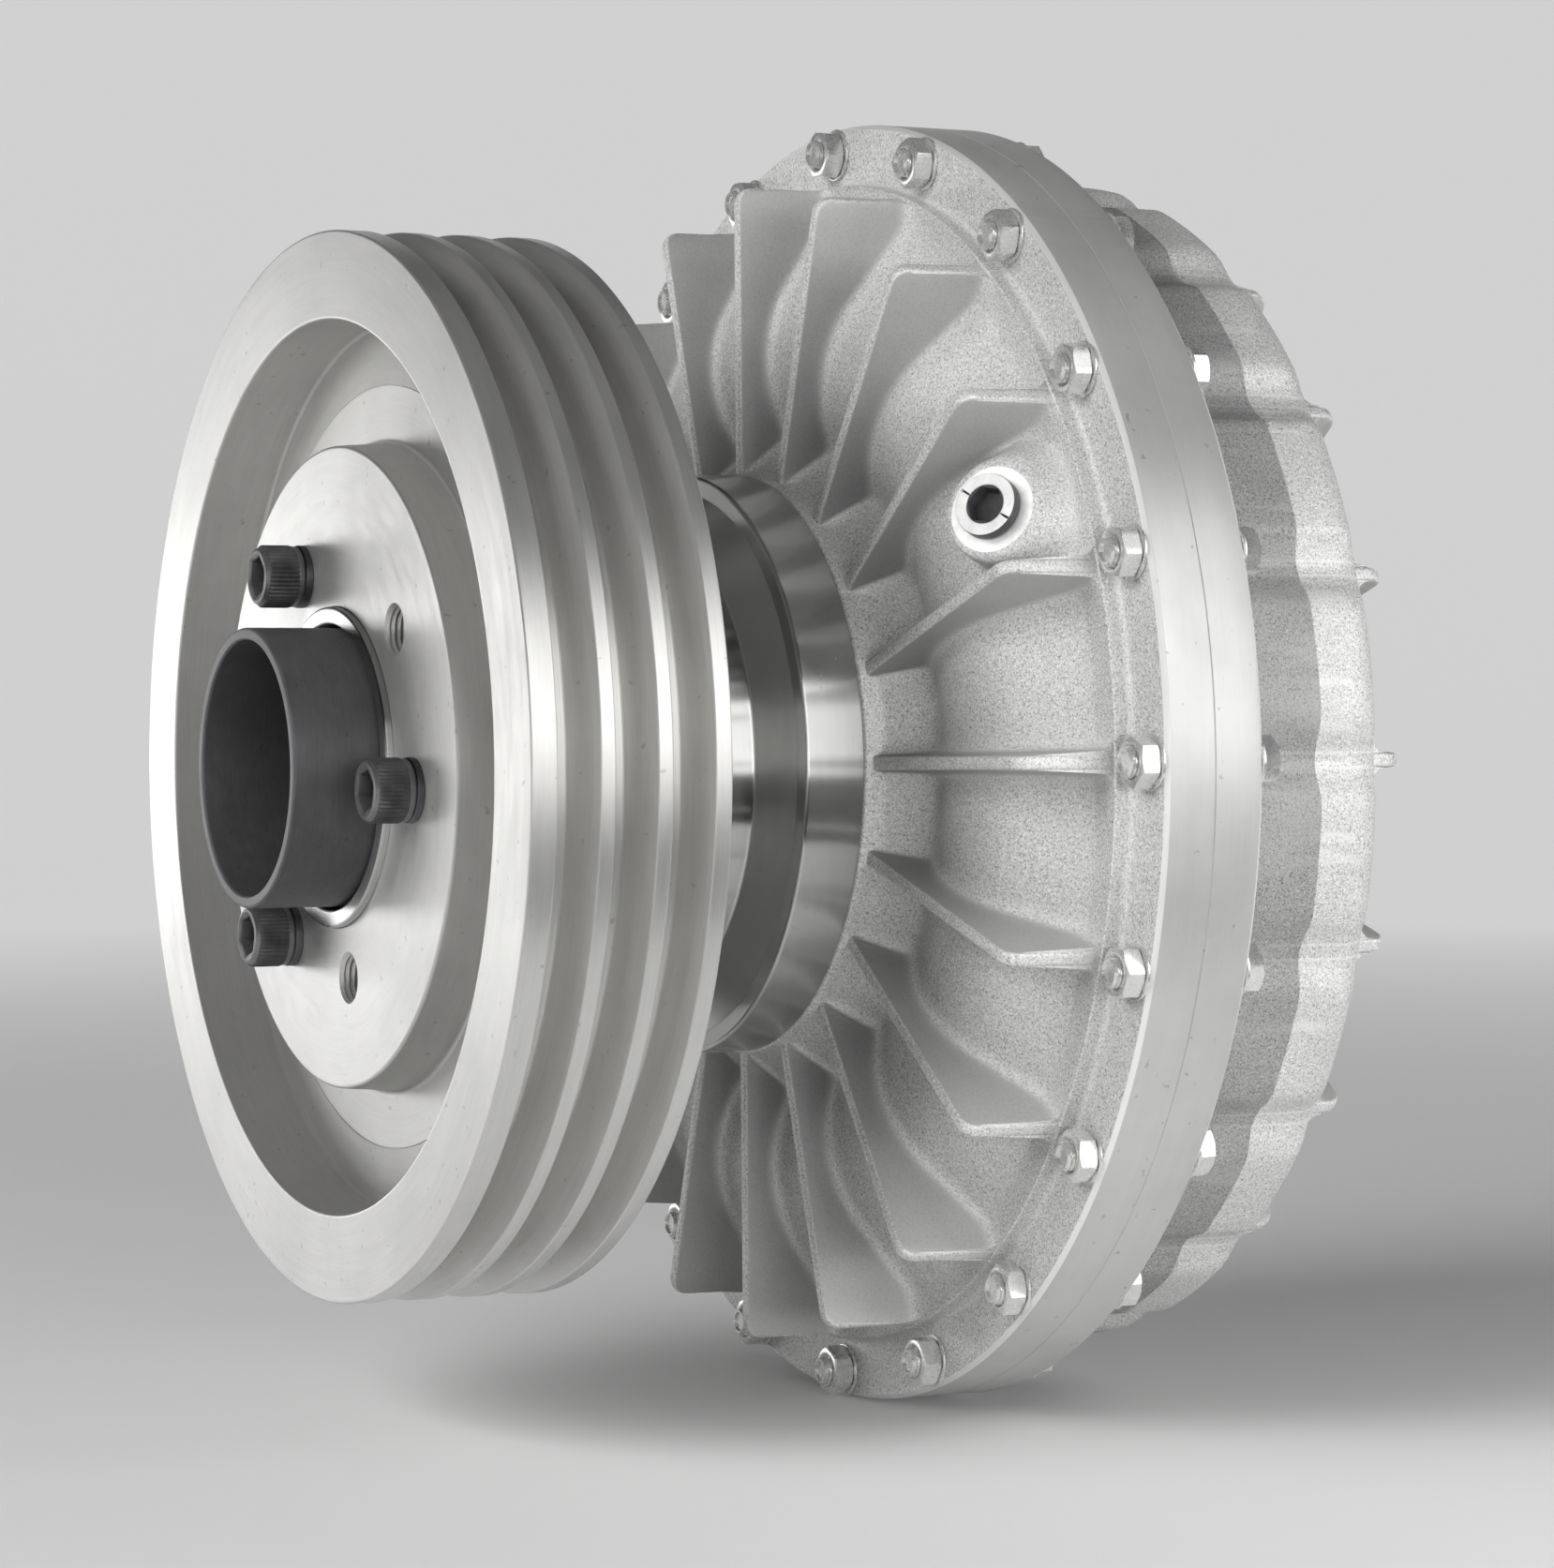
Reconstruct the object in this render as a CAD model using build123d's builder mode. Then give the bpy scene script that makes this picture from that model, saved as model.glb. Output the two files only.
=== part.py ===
from build123d import *
import math
import os

os.makedirs("parts", exist_ok=True)

# Fluid coupling with a V-belt pulley. The shaft axis is Y, the pulley is at the -Y end, +Z is up.
# The origin is on the axis, in the joint plane of the two shells. All sizes are in millimetres.
# Every radius is built outward from the motor bore: the one inside it plus a named step.
# Every level is built from the joint plane in the same way.

# Fits
fit_gap = 0.03
thread_gap = 0.05
seal_gap = 0.05
hole_clearance = 0.5
small_hole_clearance = 0.3
running_gap = 0.3
pocket_gap = 0.3
overlap = 0.5
edge_break = 0.8

# Hollow shaft
motor_bore_radius = 30.0
motor_bore_depth = 140.0
motor_bore_step = 12.0
key_width = 18.0
key_depth = 4.4
tube_wall = 4.0
tube_chamfer = 1.0
seat_step = 1.5
body_step = 4.5
body_length = 28.0
shoulder_length = 2.0
wheel_register_step = 4.0
wheel_screw_step = 19.0
shaft_flange_step = 13.0
shaft_flange_thickness = 10.0
clip_land = 1.0
tube_bore_radius = motor_bore_radius + motor_bore_step
tube_radius = tube_bore_radius + tube_wall
seat_shaft_radius = tube_radius + seat_step
shaft_body_radius = seat_shaft_radius + body_step
wheel_register_radius = shaft_body_radius + wheel_register_step
wheel_screw_circle = wheel_register_radius + wheel_screw_step
shaft_flange_radius = wheel_screw_circle + shaft_flange_step

# Bearings: 95 bore, 130 outside, 18 wide
bearing_section = 17.5
bearing_width = 18.0
ring_wall = 3.7
roller_radius = 4.75
roller_count = 20
roller_end_gap = 3.0
ball_radius = 5.0
ball_count = 14
ball_land = 2.75
cage_wall = 2.8
cage_end_gap = 1.0
rear_cage_width = 13.0
front_bearing_offset = 2.0
circlip_thickness = 2.5
circlip_width = 4.5
clip_groove_depth = 1.7
shaft_clip_opening = 12.0
spool_clip_opening = 14.0
bearing_outer_radius = seat_shaft_radius + bearing_section
bearing_centre_radius = (seat_shaft_radius + bearing_outer_radius) / 2
inner_ring_radius = seat_shaft_radius + ring_wall
outer_ring_radius = bearing_outer_radius - ring_wall

# Seals and spacer sleeve
seal_step = 5.0
seal_width = 8.0
front_seal_width = 12.0
front_seal_setback = 4.0
sleeve_wall = 3.5
seal_outer_radius = bearing_outer_radius - seal_step
sleeve_radius = seat_shaft_radius + sleeve_wall

# Small socket screws
m8_radius = 4.0
m8_head_radius = 6.5
m8_head_height = 8.0
m8_socket_radius = 3.4
m6_radius = 3.0
m6_head_radius = 5.0
m6_head_height = 6.0
m6_socket_radius = 2.8
screw_end_gap = 2.0
wheel_screw_count = 8
spool_screw_count = 8
spool_screw_grip = 12.0
cover_screw_count = 6
cover_screw_grip = 14.0

# Rear bearing cover and hub
cover_screw_step = 10.0
cover_edge = 11.0
cover_thickness = 10.0
rear_hub_edge = 4.0
cover_screw_circle = bearing_outer_radius + cover_screw_step
cover_radius = cover_screw_circle + cover_edge
rear_hub_radius = cover_radius + rear_hub_edge

# Neck spool between the front shell and the pulley
spool_wall = 12.4
spigot_step = 0.6
spool_screw_step = 9.0
spool_ring_edge = 11.8
spool_ring_width = 21.2
spool_ring_chamfer = 1.2
spool_face_step = 15.1
spool_cone_length = 8.2
spool_flange_thickness = 20.0
spool_front_wall = 7.0
spool_nose_gap = 1.3
spool_nose_wall = 5.7
spool_nose_proud = 2.6
spigot_setback = 2.0
seal_groove_offset = 6.0
spool_body_radius = bearing_outer_radius + spool_wall
spool_spigot_radius = spool_body_radius + spigot_step
spool_face_radius = spool_body_radius + spool_face_step
spool_screw_circle = spool_spigot_radius + spool_screw_step
spool_ring_radius = spool_screw_circle + spool_ring_edge
spool_nose_bore = tube_radius + spool_nose_gap
spool_nose_radius = spool_nose_bore + spool_nose_wall

# Pulley with three grooves at 19 pitch
pulley_screw_count = 3
pulley_screw_step = 17.0
pulley_screw_angle = -5.0
pulley_screw_radius = 7.0
pulley_screw_head_radius = 10.5
pulley_screw_head_height = 14.0
pulley_screw_socket_radius = 6.9
lock_washer_thickness = 2.6
jack_hole_radius = 8.0
jack_hole_angle = 45.0
spool_flange_edge = 25.0
boss_edge = 36.0
boss_recess = 4.9
boss_flare = 1.3
boss_edge_fillet = 0.8
boss_root_fillet = 1.5
web_flat_width = 20.5
web_cone_width = 20.8
web_cone_rise = 2.5
web_cone_fillet = 10.0
web_fillet = 5.0
web_front_depth = 22.3
pulley_web_thickness = 17.9
rim_thickness = 29.1
front_land = 8.6
rear_land = 5.6
belt_groove_count = 3
belt_groove_pitch = 19.0
belt_groove_width = 14.2
belt_groove_depth = 15.0
belt_groove_angle = 38.0
pulley_screw_circle = spool_nose_radius + pulley_screw_step
spool_flange_radius = pulley_screw_circle + spool_flange_edge
boss_radius = pulley_screw_circle + boss_edge
web_flat_radius = boss_radius + web_flat_width
rim_inner_radius = web_flat_radius + web_cone_width
pulley_radius = rim_inner_radius + rim_thickness
pulley_width = front_land + (belt_groove_count - 1) * belt_groove_pitch + belt_groove_width + rear_land

# Front shell: hub, dome, collar
wall = 7.0
hub_thickness = 14.0
hub_inner_step = 3.4
hub_fillet = 6.5
seat_edge = 0.6
seat_height = 41.8
hub_neck_step = 0.9
hub_neck_height = 35.5
hub_foot_step = 11.7
hub_foot_height = 20.8
dome_crest_step = 27.0
dome_crest_height = 27.7
dome_crest_arc = 50.0
dome_slope_angle = 32.0
dome_fall_angle = 24.0
bay_width = 60.0
collar_height = 6.0
seat_radius = spool_ring_radius + seat_edge
hub_inner_radius = seat_radius - hub_inner_step
hub_neck_radius = seat_radius + hub_neck_step
hub_foot_radius = hub_neck_radius + hub_foot_step
dome_crest_radius = hub_foot_radius + dome_crest_step
collar_radius = dome_crest_radius + bay_width

# Flange joint of the two shells
bolt_count = 20
first_bolt_angle = 1.0
bolt_radius = 5.0
bolt_tip_length = 2.4
bolt_head_height = 6.0
hex_flats = 15.0
nut_height = 6.8
washer_radius = 9.0
washer_thickness = 1.1
bolt_setback = 12.0
flange_edge = 9.0
flange_thickness = 17.5
flange_chamfer = 1.5
cavity_step = 51.0
register_step = 3.0
register_depth = 3.0
joint_seal_step = 6.5
joint_seal_section = 1.5
bolt_hole_radius = bolt_radius + hole_clearance
bolt_circle_radius = collar_radius + bolt_setback
flange_radius = bolt_circle_radius + flange_edge
cavity_radius = dome_crest_radius + cavity_step
register_radius = cavity_radius + register_step
joint_seal_radius = register_radius + joint_seal_step

# Working circuit: two vaned half rings
circuit_offset = 1.0
wheel_end_gap = 3.5
wheel_wall = 5.0
wheel_face = 14.5
wheel_gap = 3.0
wheel_vanes = 23
web_thickness = 12.0
shell_vanes = 26
vane_thickness = 3.0
vane_shoulder = 8.0
vane_flange_gap = 9.0
core_radius = 16.0
circuit_radius = dome_crest_radius + circuit_offset
wheel_section_radius = cavity_radius - wheel_end_gap - circuit_radius
vane_inner_radius = shaft_flange_radius + vane_flange_gap

# Rear shell: fluted barrel, back, bearing hub
barrel_step = 8.6
barrel_length = 54.5
barrel_corner = 10.0
barrel_corner_rise = 1.5
flute_depth = 4.5
flute_width = 23.0
back_sink = 2.0
back_wall = 8.5
back_corner_inside = 26.0
back_crest_step = 12.0
back_crest_fillet = 8.0
rear_valley_step = 12.0
rear_valley_depth = 6.5
rear_valley_fillet = 5.0
rear_hub_foot = 6.0
rear_hub_land = 5.0
rear_hub_root_fillet = 4.0
rear_hub_edge_fillet = 1.5
rear_hub_wall = 6.0
rear_bearing_depth = 20.0
barrel_radius = bolt_circle_radius - barrel_step
back_corner_radius = cavity_radius - back_corner_inside
back_crest_radius = circuit_radius - back_crest_step
rear_valley_radius = back_crest_radius - rear_valley_step

# Cast fins on both shells, one in line with each flange bolt
fin_thickness = 4.6
fin_draft_angle = 2.5
fin_sink = 2.0
fin_root_overlap = 1.0
front_fin_setback = 1.0
front_fin_corner = 5.5
front_fin_height = 39.2
rear_fin_setback = 8.4
rear_fin_corner = 6.0
rear_fin_rise = 14.0
rear_fin_proud = 2.0
rear_fin_start = 2.0
front_fin_radius = collar_radius - front_fin_setback
rear_fin_radius = barrel_radius - rear_fin_setback

# Filler and fusible plugs, two on each shell, opposite each other and midway between two bolts
plug_step = 27.0
plug_tilt_angle = 38.0
plug_boss_radius = 17.3
rear_plug_boss_radius = 13.0
plug_boss_depth = 17.0
plug_boss_draft_angle = 10.0
front_plug_offset = 37.3
front_plug_rise = 1.8
rear_plug_offset = 15.0
rear_plug_drop = 0.5
plug_collar_radius = 10.4
plug_collar_height = 4.4
plug_thread_radius = 8.0
plug_length = 11.0
plug_socket_radius = 5.4
plug_socket_depth = 6.0
plug_seal_thickness = 1.0
front_plug_bore = 34.0
rear_plug_bore = 22.1
plug_angles = (first_bolt_angle + plug_step, first_bolt_angle + plug_step + 180)

# Lengths of the neck and of what stands out at both ends
neck_length = 150.9
tube_overhang = 26.5
shaft_overhang = 14.0

# Levels along Y that several pieces share
flange_front = -flange_thickness
flange_rear = flange_thickness
spool_seat = flange_front - seat_height
hub_inside = spool_seat + hub_thickness
crest_level = flange_front - dome_crest_height
collar_level = flange_front - collar_height
barrel_end = flange_rear + barrel_length
fin_top = barrel_end + rear_fin_rise
rear_face = fin_top - rear_fin_proud
back_inside = barrel_end - back_sink
back_outside = back_inside + back_wall
rear_bearing_front = rear_face - rear_bearing_depth
rear_bearing_rear = rear_bearing_front + bearing_width
rear_hub_floor = rear_bearing_front - rear_hub_wall
web_rear = wheel_face - shaft_flange_thickness
web_front = web_rear - web_thickness
sleeve_rear = web_front - body_length
pulley_front = spool_seat - neck_length
pulley_rear = pulley_front + pulley_width
boss_front = pulley_front + boss_recess
web_face = pulley_front + web_front_depth
web_back = web_face + pulley_web_thickness
spool_flange_rear = web_back + spool_flange_thickness
front_bearing_front = spool_flange_rear + front_bearing_offset
front_bearing_rear = front_bearing_front + bearing_width
tube_front = pulley_front - tube_overhang
shaft_rear = rear_face + shaft_overhang
front_boss_face = (dome_crest_radius + front_plug_offset, crest_level + front_plug_rise)
rear_boss_face = (back_corner_radius + rear_plug_offset, back_outside - rear_plug_drop)


def across(level):
    """The plane square to the shaft axis at this level, facing the pulley end."""
    return Plane.XZ.offset(-level)


def ring(outer, inner, low, high):
    """A plain ring round the shaft axis between two levels."""
    with BuildPart() as piece:
        with BuildSketch(across(high)):
            Circle(outer)
            Circle(inner, mode=Mode.SUBTRACT)
        extrude(amount=high - low)
    return piece


def socket_screws(circle, count, head_level, shank_length, sizes, start=0.0, out=1.0):
    """A ring of hexagon socket screws. Their heads stand out from head_level, to -Y where out is 1."""
    shank, head, height, socket = sizes
    with BuildPart() as screws:
        with BuildSketch(across(head_level)):
            with PolarLocations(circle, count, start_angle=start):
                Circle(head)
        extrude(amount=out * height)
        with BuildSketch(across(head_level)):
            with PolarLocations(circle, count, start_angle=start):
                Circle(shank)
        extrude(amount=-out * shank_length)
        with BuildSketch(across(head_level - out * height)):
            with PolarLocations(circle, count, start_angle=start):
                RegularPolygon(socket, 6)
        extrude(amount=-out * height / 2, mode=Mode.SUBTRACT)
    return screws


def plug_plane(face, angle, side, lift=0.0):
    """The plane of a plug's seat: on the shoulder of a shell, tilted outward. side is -1 in front."""
    tilt = math.radians(plug_tilt_angle)
    turn = math.radians(angle)
    radius = face[0] + lift * math.sin(tilt)
    level = face[1] + side * lift * math.cos(tilt)
    outward = (math.sin(tilt) * math.cos(turn), side * math.cos(tilt), math.sin(tilt) * math.sin(turn))
    origin = (radius * math.cos(turn), level, radius * math.sin(turn))
    return Plane(origin=origin, x_dir=(-math.sin(turn), 0, math.cos(turn)), z_dir=outward)


def plugs(face, side):
    """Two opposed plugs: a round collar with a hexagon socket, and a threaded shank."""
    with BuildPart() as pair:
        for angle in plug_angles:
            with BuildSketch(plug_plane(face, angle, side, plug_seal_thickness)):
                Circle(plug_collar_radius)
            extrude(amount=plug_collar_height)
            with BuildSketch(plug_plane(face, angle, side, plug_seal_thickness)):
                Circle(plug_thread_radius)
            extrude(amount=-plug_length)
            with BuildSketch(plug_plane(face, angle, side, plug_seal_thickness + plug_collar_height)):
                RegularPolygon(plug_socket_radius, 6, major_radius=False)
            extrude(amount=-plug_socket_depth, mode=Mode.SUBTRACT)
    return pair


def plug_seals(face, side):
    """The flat sealing rings under two opposed plugs."""
    with BuildPart() as pair:
        for angle in plug_angles:
            with BuildSketch(plug_plane(face, angle, side)):
                Circle(plug_collar_radius)
                Circle(plug_thread_radius + thread_gap, mode=Mode.SUBTRACT)
            extrude(amount=plug_seal_thickness)
    return pair


def fin(inner_radius, outer_radius, root, top, corner):
    """One cast fin in the XY plane: a drafted plate from root to top, with a round outer corner."""
    height = abs(top - root)
    base = fin_thickness + 2 * height * math.tan(math.radians(fin_draft_angle))
    with BuildPart() as blade:
        with BuildSketch(Plane.YZ.offset(inner_radius)):
            with BuildLine():
                Polyline(
                    (root, -base / 2),
                    (root, base / 2),
                    (top, fin_thickness / 2),
                    (top, -fin_thickness / 2),
                    close=True,
                )
            make_face()
        extrude(amount=outer_radius - inner_radius)
        outer_edges = blade.edges().filter_by(Axis.Z).group_by(Axis.X)[-1]
        fillet(outer_edges.sort_by_distance((outer_radius, top, 0))[0], corner)
    return blade


# Front shell
crest_centre = crest_level + dome_crest_arc
slope = math.radians(dome_slope_angle)
fall = math.radians(dome_fall_angle)


def dome_point(radius, angle):
    """A point of the dome's crest arc, at an angle from the crest, outward positive."""
    return (dome_crest_radius + radius * math.sin(angle), crest_centre - radius * math.cos(angle))


shoulder = dome_point(dome_crest_arc, slope)
dome_foot = (shoulder[0] + (collar_level - shoulder[1]) / math.tan(slope), collar_level)
inner_arc = dome_crest_arc - wall
shoulder_inside = dome_point(inner_arc, slope)
foot_inside = shoulder_inside[1] + (cavity_radius - shoulder_inside[0]) * math.tan(slope)
fall_inside = dome_point(inner_arc, -fall)
hub_foot_inside = (hub_foot_radius - wall / 2, flange_front - hub_foot_height + wall)

front_fin = fin(
    seat_radius - fin_sink,
    front_fin_radius,
    flange_front - fin_root_overlap,
    flange_front - front_fin_height,
    front_fin_corner,
)

with BuildPart() as front_shell:
    with BuildSketch(Plane.XY):
        with BuildLine():
            Polyline(
                (0, register_depth),
                (register_radius - fit_gap, register_depth),
                (register_radius - fit_gap, 0),
                (flange_radius, 0),
                (flange_radius, flange_front + flange_chamfer),
                (flange_radius - flange_chamfer, flange_front),
                (collar_radius, flange_front),
                (collar_radius, collar_level),
                dome_foot,
                shoulder,
            )
            ThreePointArc(shoulder, (dome_crest_radius, crest_level), dome_point(dome_crest_arc, -fall))
            FilletPolyline(
                dome_point(dome_crest_arc, -fall),
                (hub_foot_radius, flange_front - hub_foot_height),
                (hub_neck_radius, flange_front - hub_neck_height),
                (seat_radius, spool_seat),
                radius=hub_fillet,
            )
            Polyline((seat_radius, spool_seat), (0, spool_seat), (0, register_depth))
        make_face()
    revolve(axis=Axis.Y)
    for step in range(bolt_count):
        add(front_fin.part, rotation=(0, -first_bolt_angle - step * 360 / bolt_count, 0))
    for angle in plug_angles:
        with BuildSketch(plug_plane(front_boss_face, angle, -1)):
            Circle(plug_boss_radius)
        extrude(amount=-plug_boss_depth, taper=-plug_boss_draft_angle)
    with BuildSketch(Plane.XY):
        with BuildLine():
            Polyline(
                (0, register_depth),
                (cavity_radius, register_depth),
                (cavity_radius, foot_inside),
                shoulder_inside,
            )
            ThreePointArc(shoulder_inside, (dome_crest_radius, crest_level + wall), fall_inside)
            Polyline(
                fall_inside,
                hub_foot_inside,
                (hub_inner_radius, hub_inside),
                (0, hub_inside),
                (0, register_depth),
            )
        make_face()
    revolve(axis=Axis.Y, mode=Mode.SUBTRACT)
    with BuildSketch(across(hub_inside)):
        Circle(spool_spigot_radius + fit_gap)
        with PolarLocations(spool_screw_circle, spool_screw_count):
            Circle(m8_radius + hole_clearance)
    extrude(amount=hub_thickness, mode=Mode.SUBTRACT)
    with BuildSketch(across(0)):
        with PolarLocations(bolt_circle_radius, bolt_count, start_angle=first_bolt_angle):
            Circle(bolt_hole_radius)
    extrude(amount=flange_thickness, mode=Mode.SUBTRACT)
    for angle in plug_angles:
        with BuildSketch(plug_plane(front_boss_face, angle, -1)):
            Circle(plug_thread_radius + thread_gap)
        extrude(amount=-front_plug_bore, mode=Mode.SUBTRACT)

# Rear shell, with its vanes
flute_offset = (flute_width**2 / 4 - flute_depth**2) / (2 * flute_depth)
flute_radius = flute_offset + flute_depth
back_corner_level = back_inside - back_corner_inside
vane_face = wheel_face + wheel_gap
vane_reach = cavity_radius + overlap
back_fillets = [
    barrel_corner,
    back_crest_fillet,
    back_crest_fillet,
    rear_valley_fillet,
    rear_hub_root_fillet,
    rear_hub_edge_fillet,
]

rear_fin = fin(
    rear_hub_radius + rear_fin_start,
    rear_fin_radius,
    barrel_end - rear_valley_depth,
    fin_top,
    rear_fin_corner,
)

with BuildPart() as shell_vane:
    with BuildSketch(Plane.XY.offset(-vane_thickness / 2)):
        with BuildLine():
            Polyline(
                (vane_inner_radius, vane_face),
                (vane_reach, vane_face),
                (vane_reach, back_corner_level),
            )
            RadiusArc(
                (vane_reach, back_corner_level),
                (back_corner_radius, back_inside + overlap),
                -(back_corner_inside + overlap),
            )
            Polyline(
                (back_corner_radius, back_inside + overlap),
                (back_crest_radius, back_inside + overlap),
                (rear_valley_radius, rear_hub_floor + overlap),
                (rear_valley_radius - vane_shoulder, rear_hub_floor + overlap),
                (vane_inner_radius, vane_face + core_radius),
                (vane_inner_radius, vane_face),
            )
        make_face()
        with Locations((circuit_radius, vane_face)):
            Circle(core_radius, mode=Mode.SUBTRACT)
    extrude(amount=vane_thickness)

with BuildPart() as rear_shell:
    with BuildSketch(Plane.XY):
        with BuildLine():
            Polyline(
                (0, 0),
                (flange_radius, 0),
                (flange_radius, flange_rear - flange_chamfer),
                (flange_radius - flange_chamfer, flange_rear),
                (barrel_radius, flange_rear),
            )
            FilletPolyline(
                (barrel_radius, flange_rear),
                (barrel_radius, barrel_end + barrel_corner_rise),
                (back_corner_radius, back_outside),
                (back_crest_radius, back_outside),
                (rear_valley_radius, back_outside - rear_valley_depth),
                (rear_hub_radius + rear_hub_foot, back_outside - rear_valley_depth),
                (rear_hub_radius, rear_face),
                (rear_hub_radius - rear_hub_land, rear_face),
                radius=back_fillets,
            )
            Polyline((rear_hub_radius - rear_hub_land, rear_face), (0, rear_face), (0, 0))
        make_face()
    revolve(axis=Axis.Y)
    with BuildSketch(across(flange_rear)):
        with PolarLocations(barrel_radius + flute_offset, bolt_count, start_angle=first_bolt_angle):
            Circle(flute_radius)
    extrude(amount=-(fin_top - flange_rear), mode=Mode.SUBTRACT)
    for step in range(bolt_count):
        add(rear_fin.part, rotation=(0, -first_bolt_angle - step * 360 / bolt_count, 0))
    for angle in plug_angles:
        with BuildSketch(plug_plane(rear_boss_face, angle, 1)):
            Circle(rear_plug_boss_radius)
        extrude(amount=-plug_boss_depth, taper=-plug_boss_draft_angle)
        with BuildSketch(plug_plane(rear_boss_face, angle, 1)):
            Circle(rear_plug_boss_radius)
        extrude(amount=plug_boss_depth, mode=Mode.SUBTRACT)
    with BuildSketch(Plane.XY):
        with BuildLine():
            Polyline((0, 0), (cavity_radius, 0), (cavity_radius, back_corner_level))
            RadiusArc(
                (cavity_radius, back_corner_level),
                (back_corner_radius, back_inside),
                -back_corner_inside,
            )
            Polyline(
                (back_corner_radius, back_inside),
                (back_crest_radius, back_inside),
                (rear_valley_radius, rear_hub_floor),
                (0, rear_hub_floor),
                (0, 0),
            )
        make_face()
    revolve(axis=Axis.Y, mode=Mode.SUBTRACT)
    for step in range(shell_vanes):
        add(shell_vane.part, rotation=(0, step * 360 / shell_vanes, 0))
    with BuildSketch(across(0)):
        Circle(register_radius)
    extrude(amount=-register_depth - fit_gap, mode=Mode.SUBTRACT)
    with BuildSketch(Plane.XY):
        with Locations((joint_seal_radius, 0)):
            Rectangle(2 * (joint_seal_section + seal_gap), 4 * (joint_seal_section + seal_gap))
    revolve(axis=Axis.Y, mode=Mode.SUBTRACT)
    with BuildSketch(across(0)):
        with PolarLocations(bolt_circle_radius, bolt_count, start_angle=first_bolt_angle):
            Circle(bolt_hole_radius)
    extrude(amount=-flange_thickness, mode=Mode.SUBTRACT)
    with BuildSketch(across(0)):
        Circle(seal_outer_radius)
    extrude(amount=-rear_face, mode=Mode.SUBTRACT)
    with BuildSketch(across(rear_bearing_front)):
        Circle(bearing_outer_radius + fit_gap)
    extrude(amount=rear_bearing_front - rear_face, mode=Mode.SUBTRACT)
    with BuildSketch(across(rear_face)):
        with PolarLocations(cover_screw_circle, cover_screw_count):
            Circle(m6_radius + thread_gap)
    extrude(amount=cover_screw_grip + screw_end_gap, mode=Mode.SUBTRACT)
    for angle in plug_angles:
        with BuildSketch(plug_plane(rear_boss_face, angle, 1)):
            Circle(plug_thread_radius + thread_gap)
        extrude(amount=-rear_plug_bore, mode=Mode.SUBTRACT)

# Flange joint: sealing ring, bolts, nuts, washers
with BuildPart() as joint_seal:
    with BuildSketch(Plane.XY):
        with Locations((joint_seal_radius, joint_seal_section + seal_gap)):
            Circle(joint_seal_section)
    revolve(axis=Axis.Y)

with BuildPart() as flange_bolts:
    with BuildSketch(across(flange_rear + washer_thickness)):
        with PolarLocations(bolt_circle_radius, bolt_count, start_angle=first_bolt_angle):
            RegularPolygon(hex_flats / 2, 6, major_radius=False)
    extrude(amount=-bolt_head_height)
    with BuildSketch(across(flange_rear + washer_thickness)):
        with PolarLocations(bolt_circle_radius, bolt_count, start_angle=first_bolt_angle):
            Circle(bolt_radius)
    extrude(amount=2 * flange_thickness + 2 * washer_thickness + nut_height + bolt_tip_length)

with BuildPart() as flange_nuts:
    with BuildSketch(across(flange_front - washer_thickness)):
        with PolarLocations(bolt_circle_radius, bolt_count, start_angle=first_bolt_angle):
            RegularPolygon(hex_flats / 2, 6, major_radius=False)
            Circle(bolt_radius + thread_gap, mode=Mode.SUBTRACT)
    extrude(amount=nut_height)

with BuildPart() as front_washers:
    with BuildSketch(across(flange_front)):
        with PolarLocations(bolt_circle_radius, bolt_count, start_angle=first_bolt_angle):
            Circle(washer_radius)
            Circle(bolt_hole_radius, mode=Mode.SUBTRACT)
    extrude(amount=washer_thickness)

with BuildPart() as rear_washers:
    with BuildSketch(across(flange_rear)):
        with PolarLocations(bolt_circle_radius, bolt_count, start_angle=first_bolt_angle):
            Circle(washer_radius)
            Circle(bolt_hole_radius, mode=Mode.SUBTRACT)
    extrude(amount=-washer_thickness)

# Plugs
filler_plugs = plugs(front_boss_face, -1)
filler_plug_seals = plug_seals(front_boss_face, -1)
fusible_plugs = plugs(rear_boss_face, 1)
fusible_plug_seals = plug_seals(rear_boss_face, 1)

# Hollow shaft with its flange, seats and keyed motor bore
motor_bore_end = shaft_rear - motor_bore_depth
circlip_seat = front_bearing_front - circlip_thickness
rear_clip_seat = rear_bearing_rear + circlip_thickness
seat_end = rear_clip_seat + clip_land
groove_radius = seat_shaft_radius - clip_groove_depth

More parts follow.
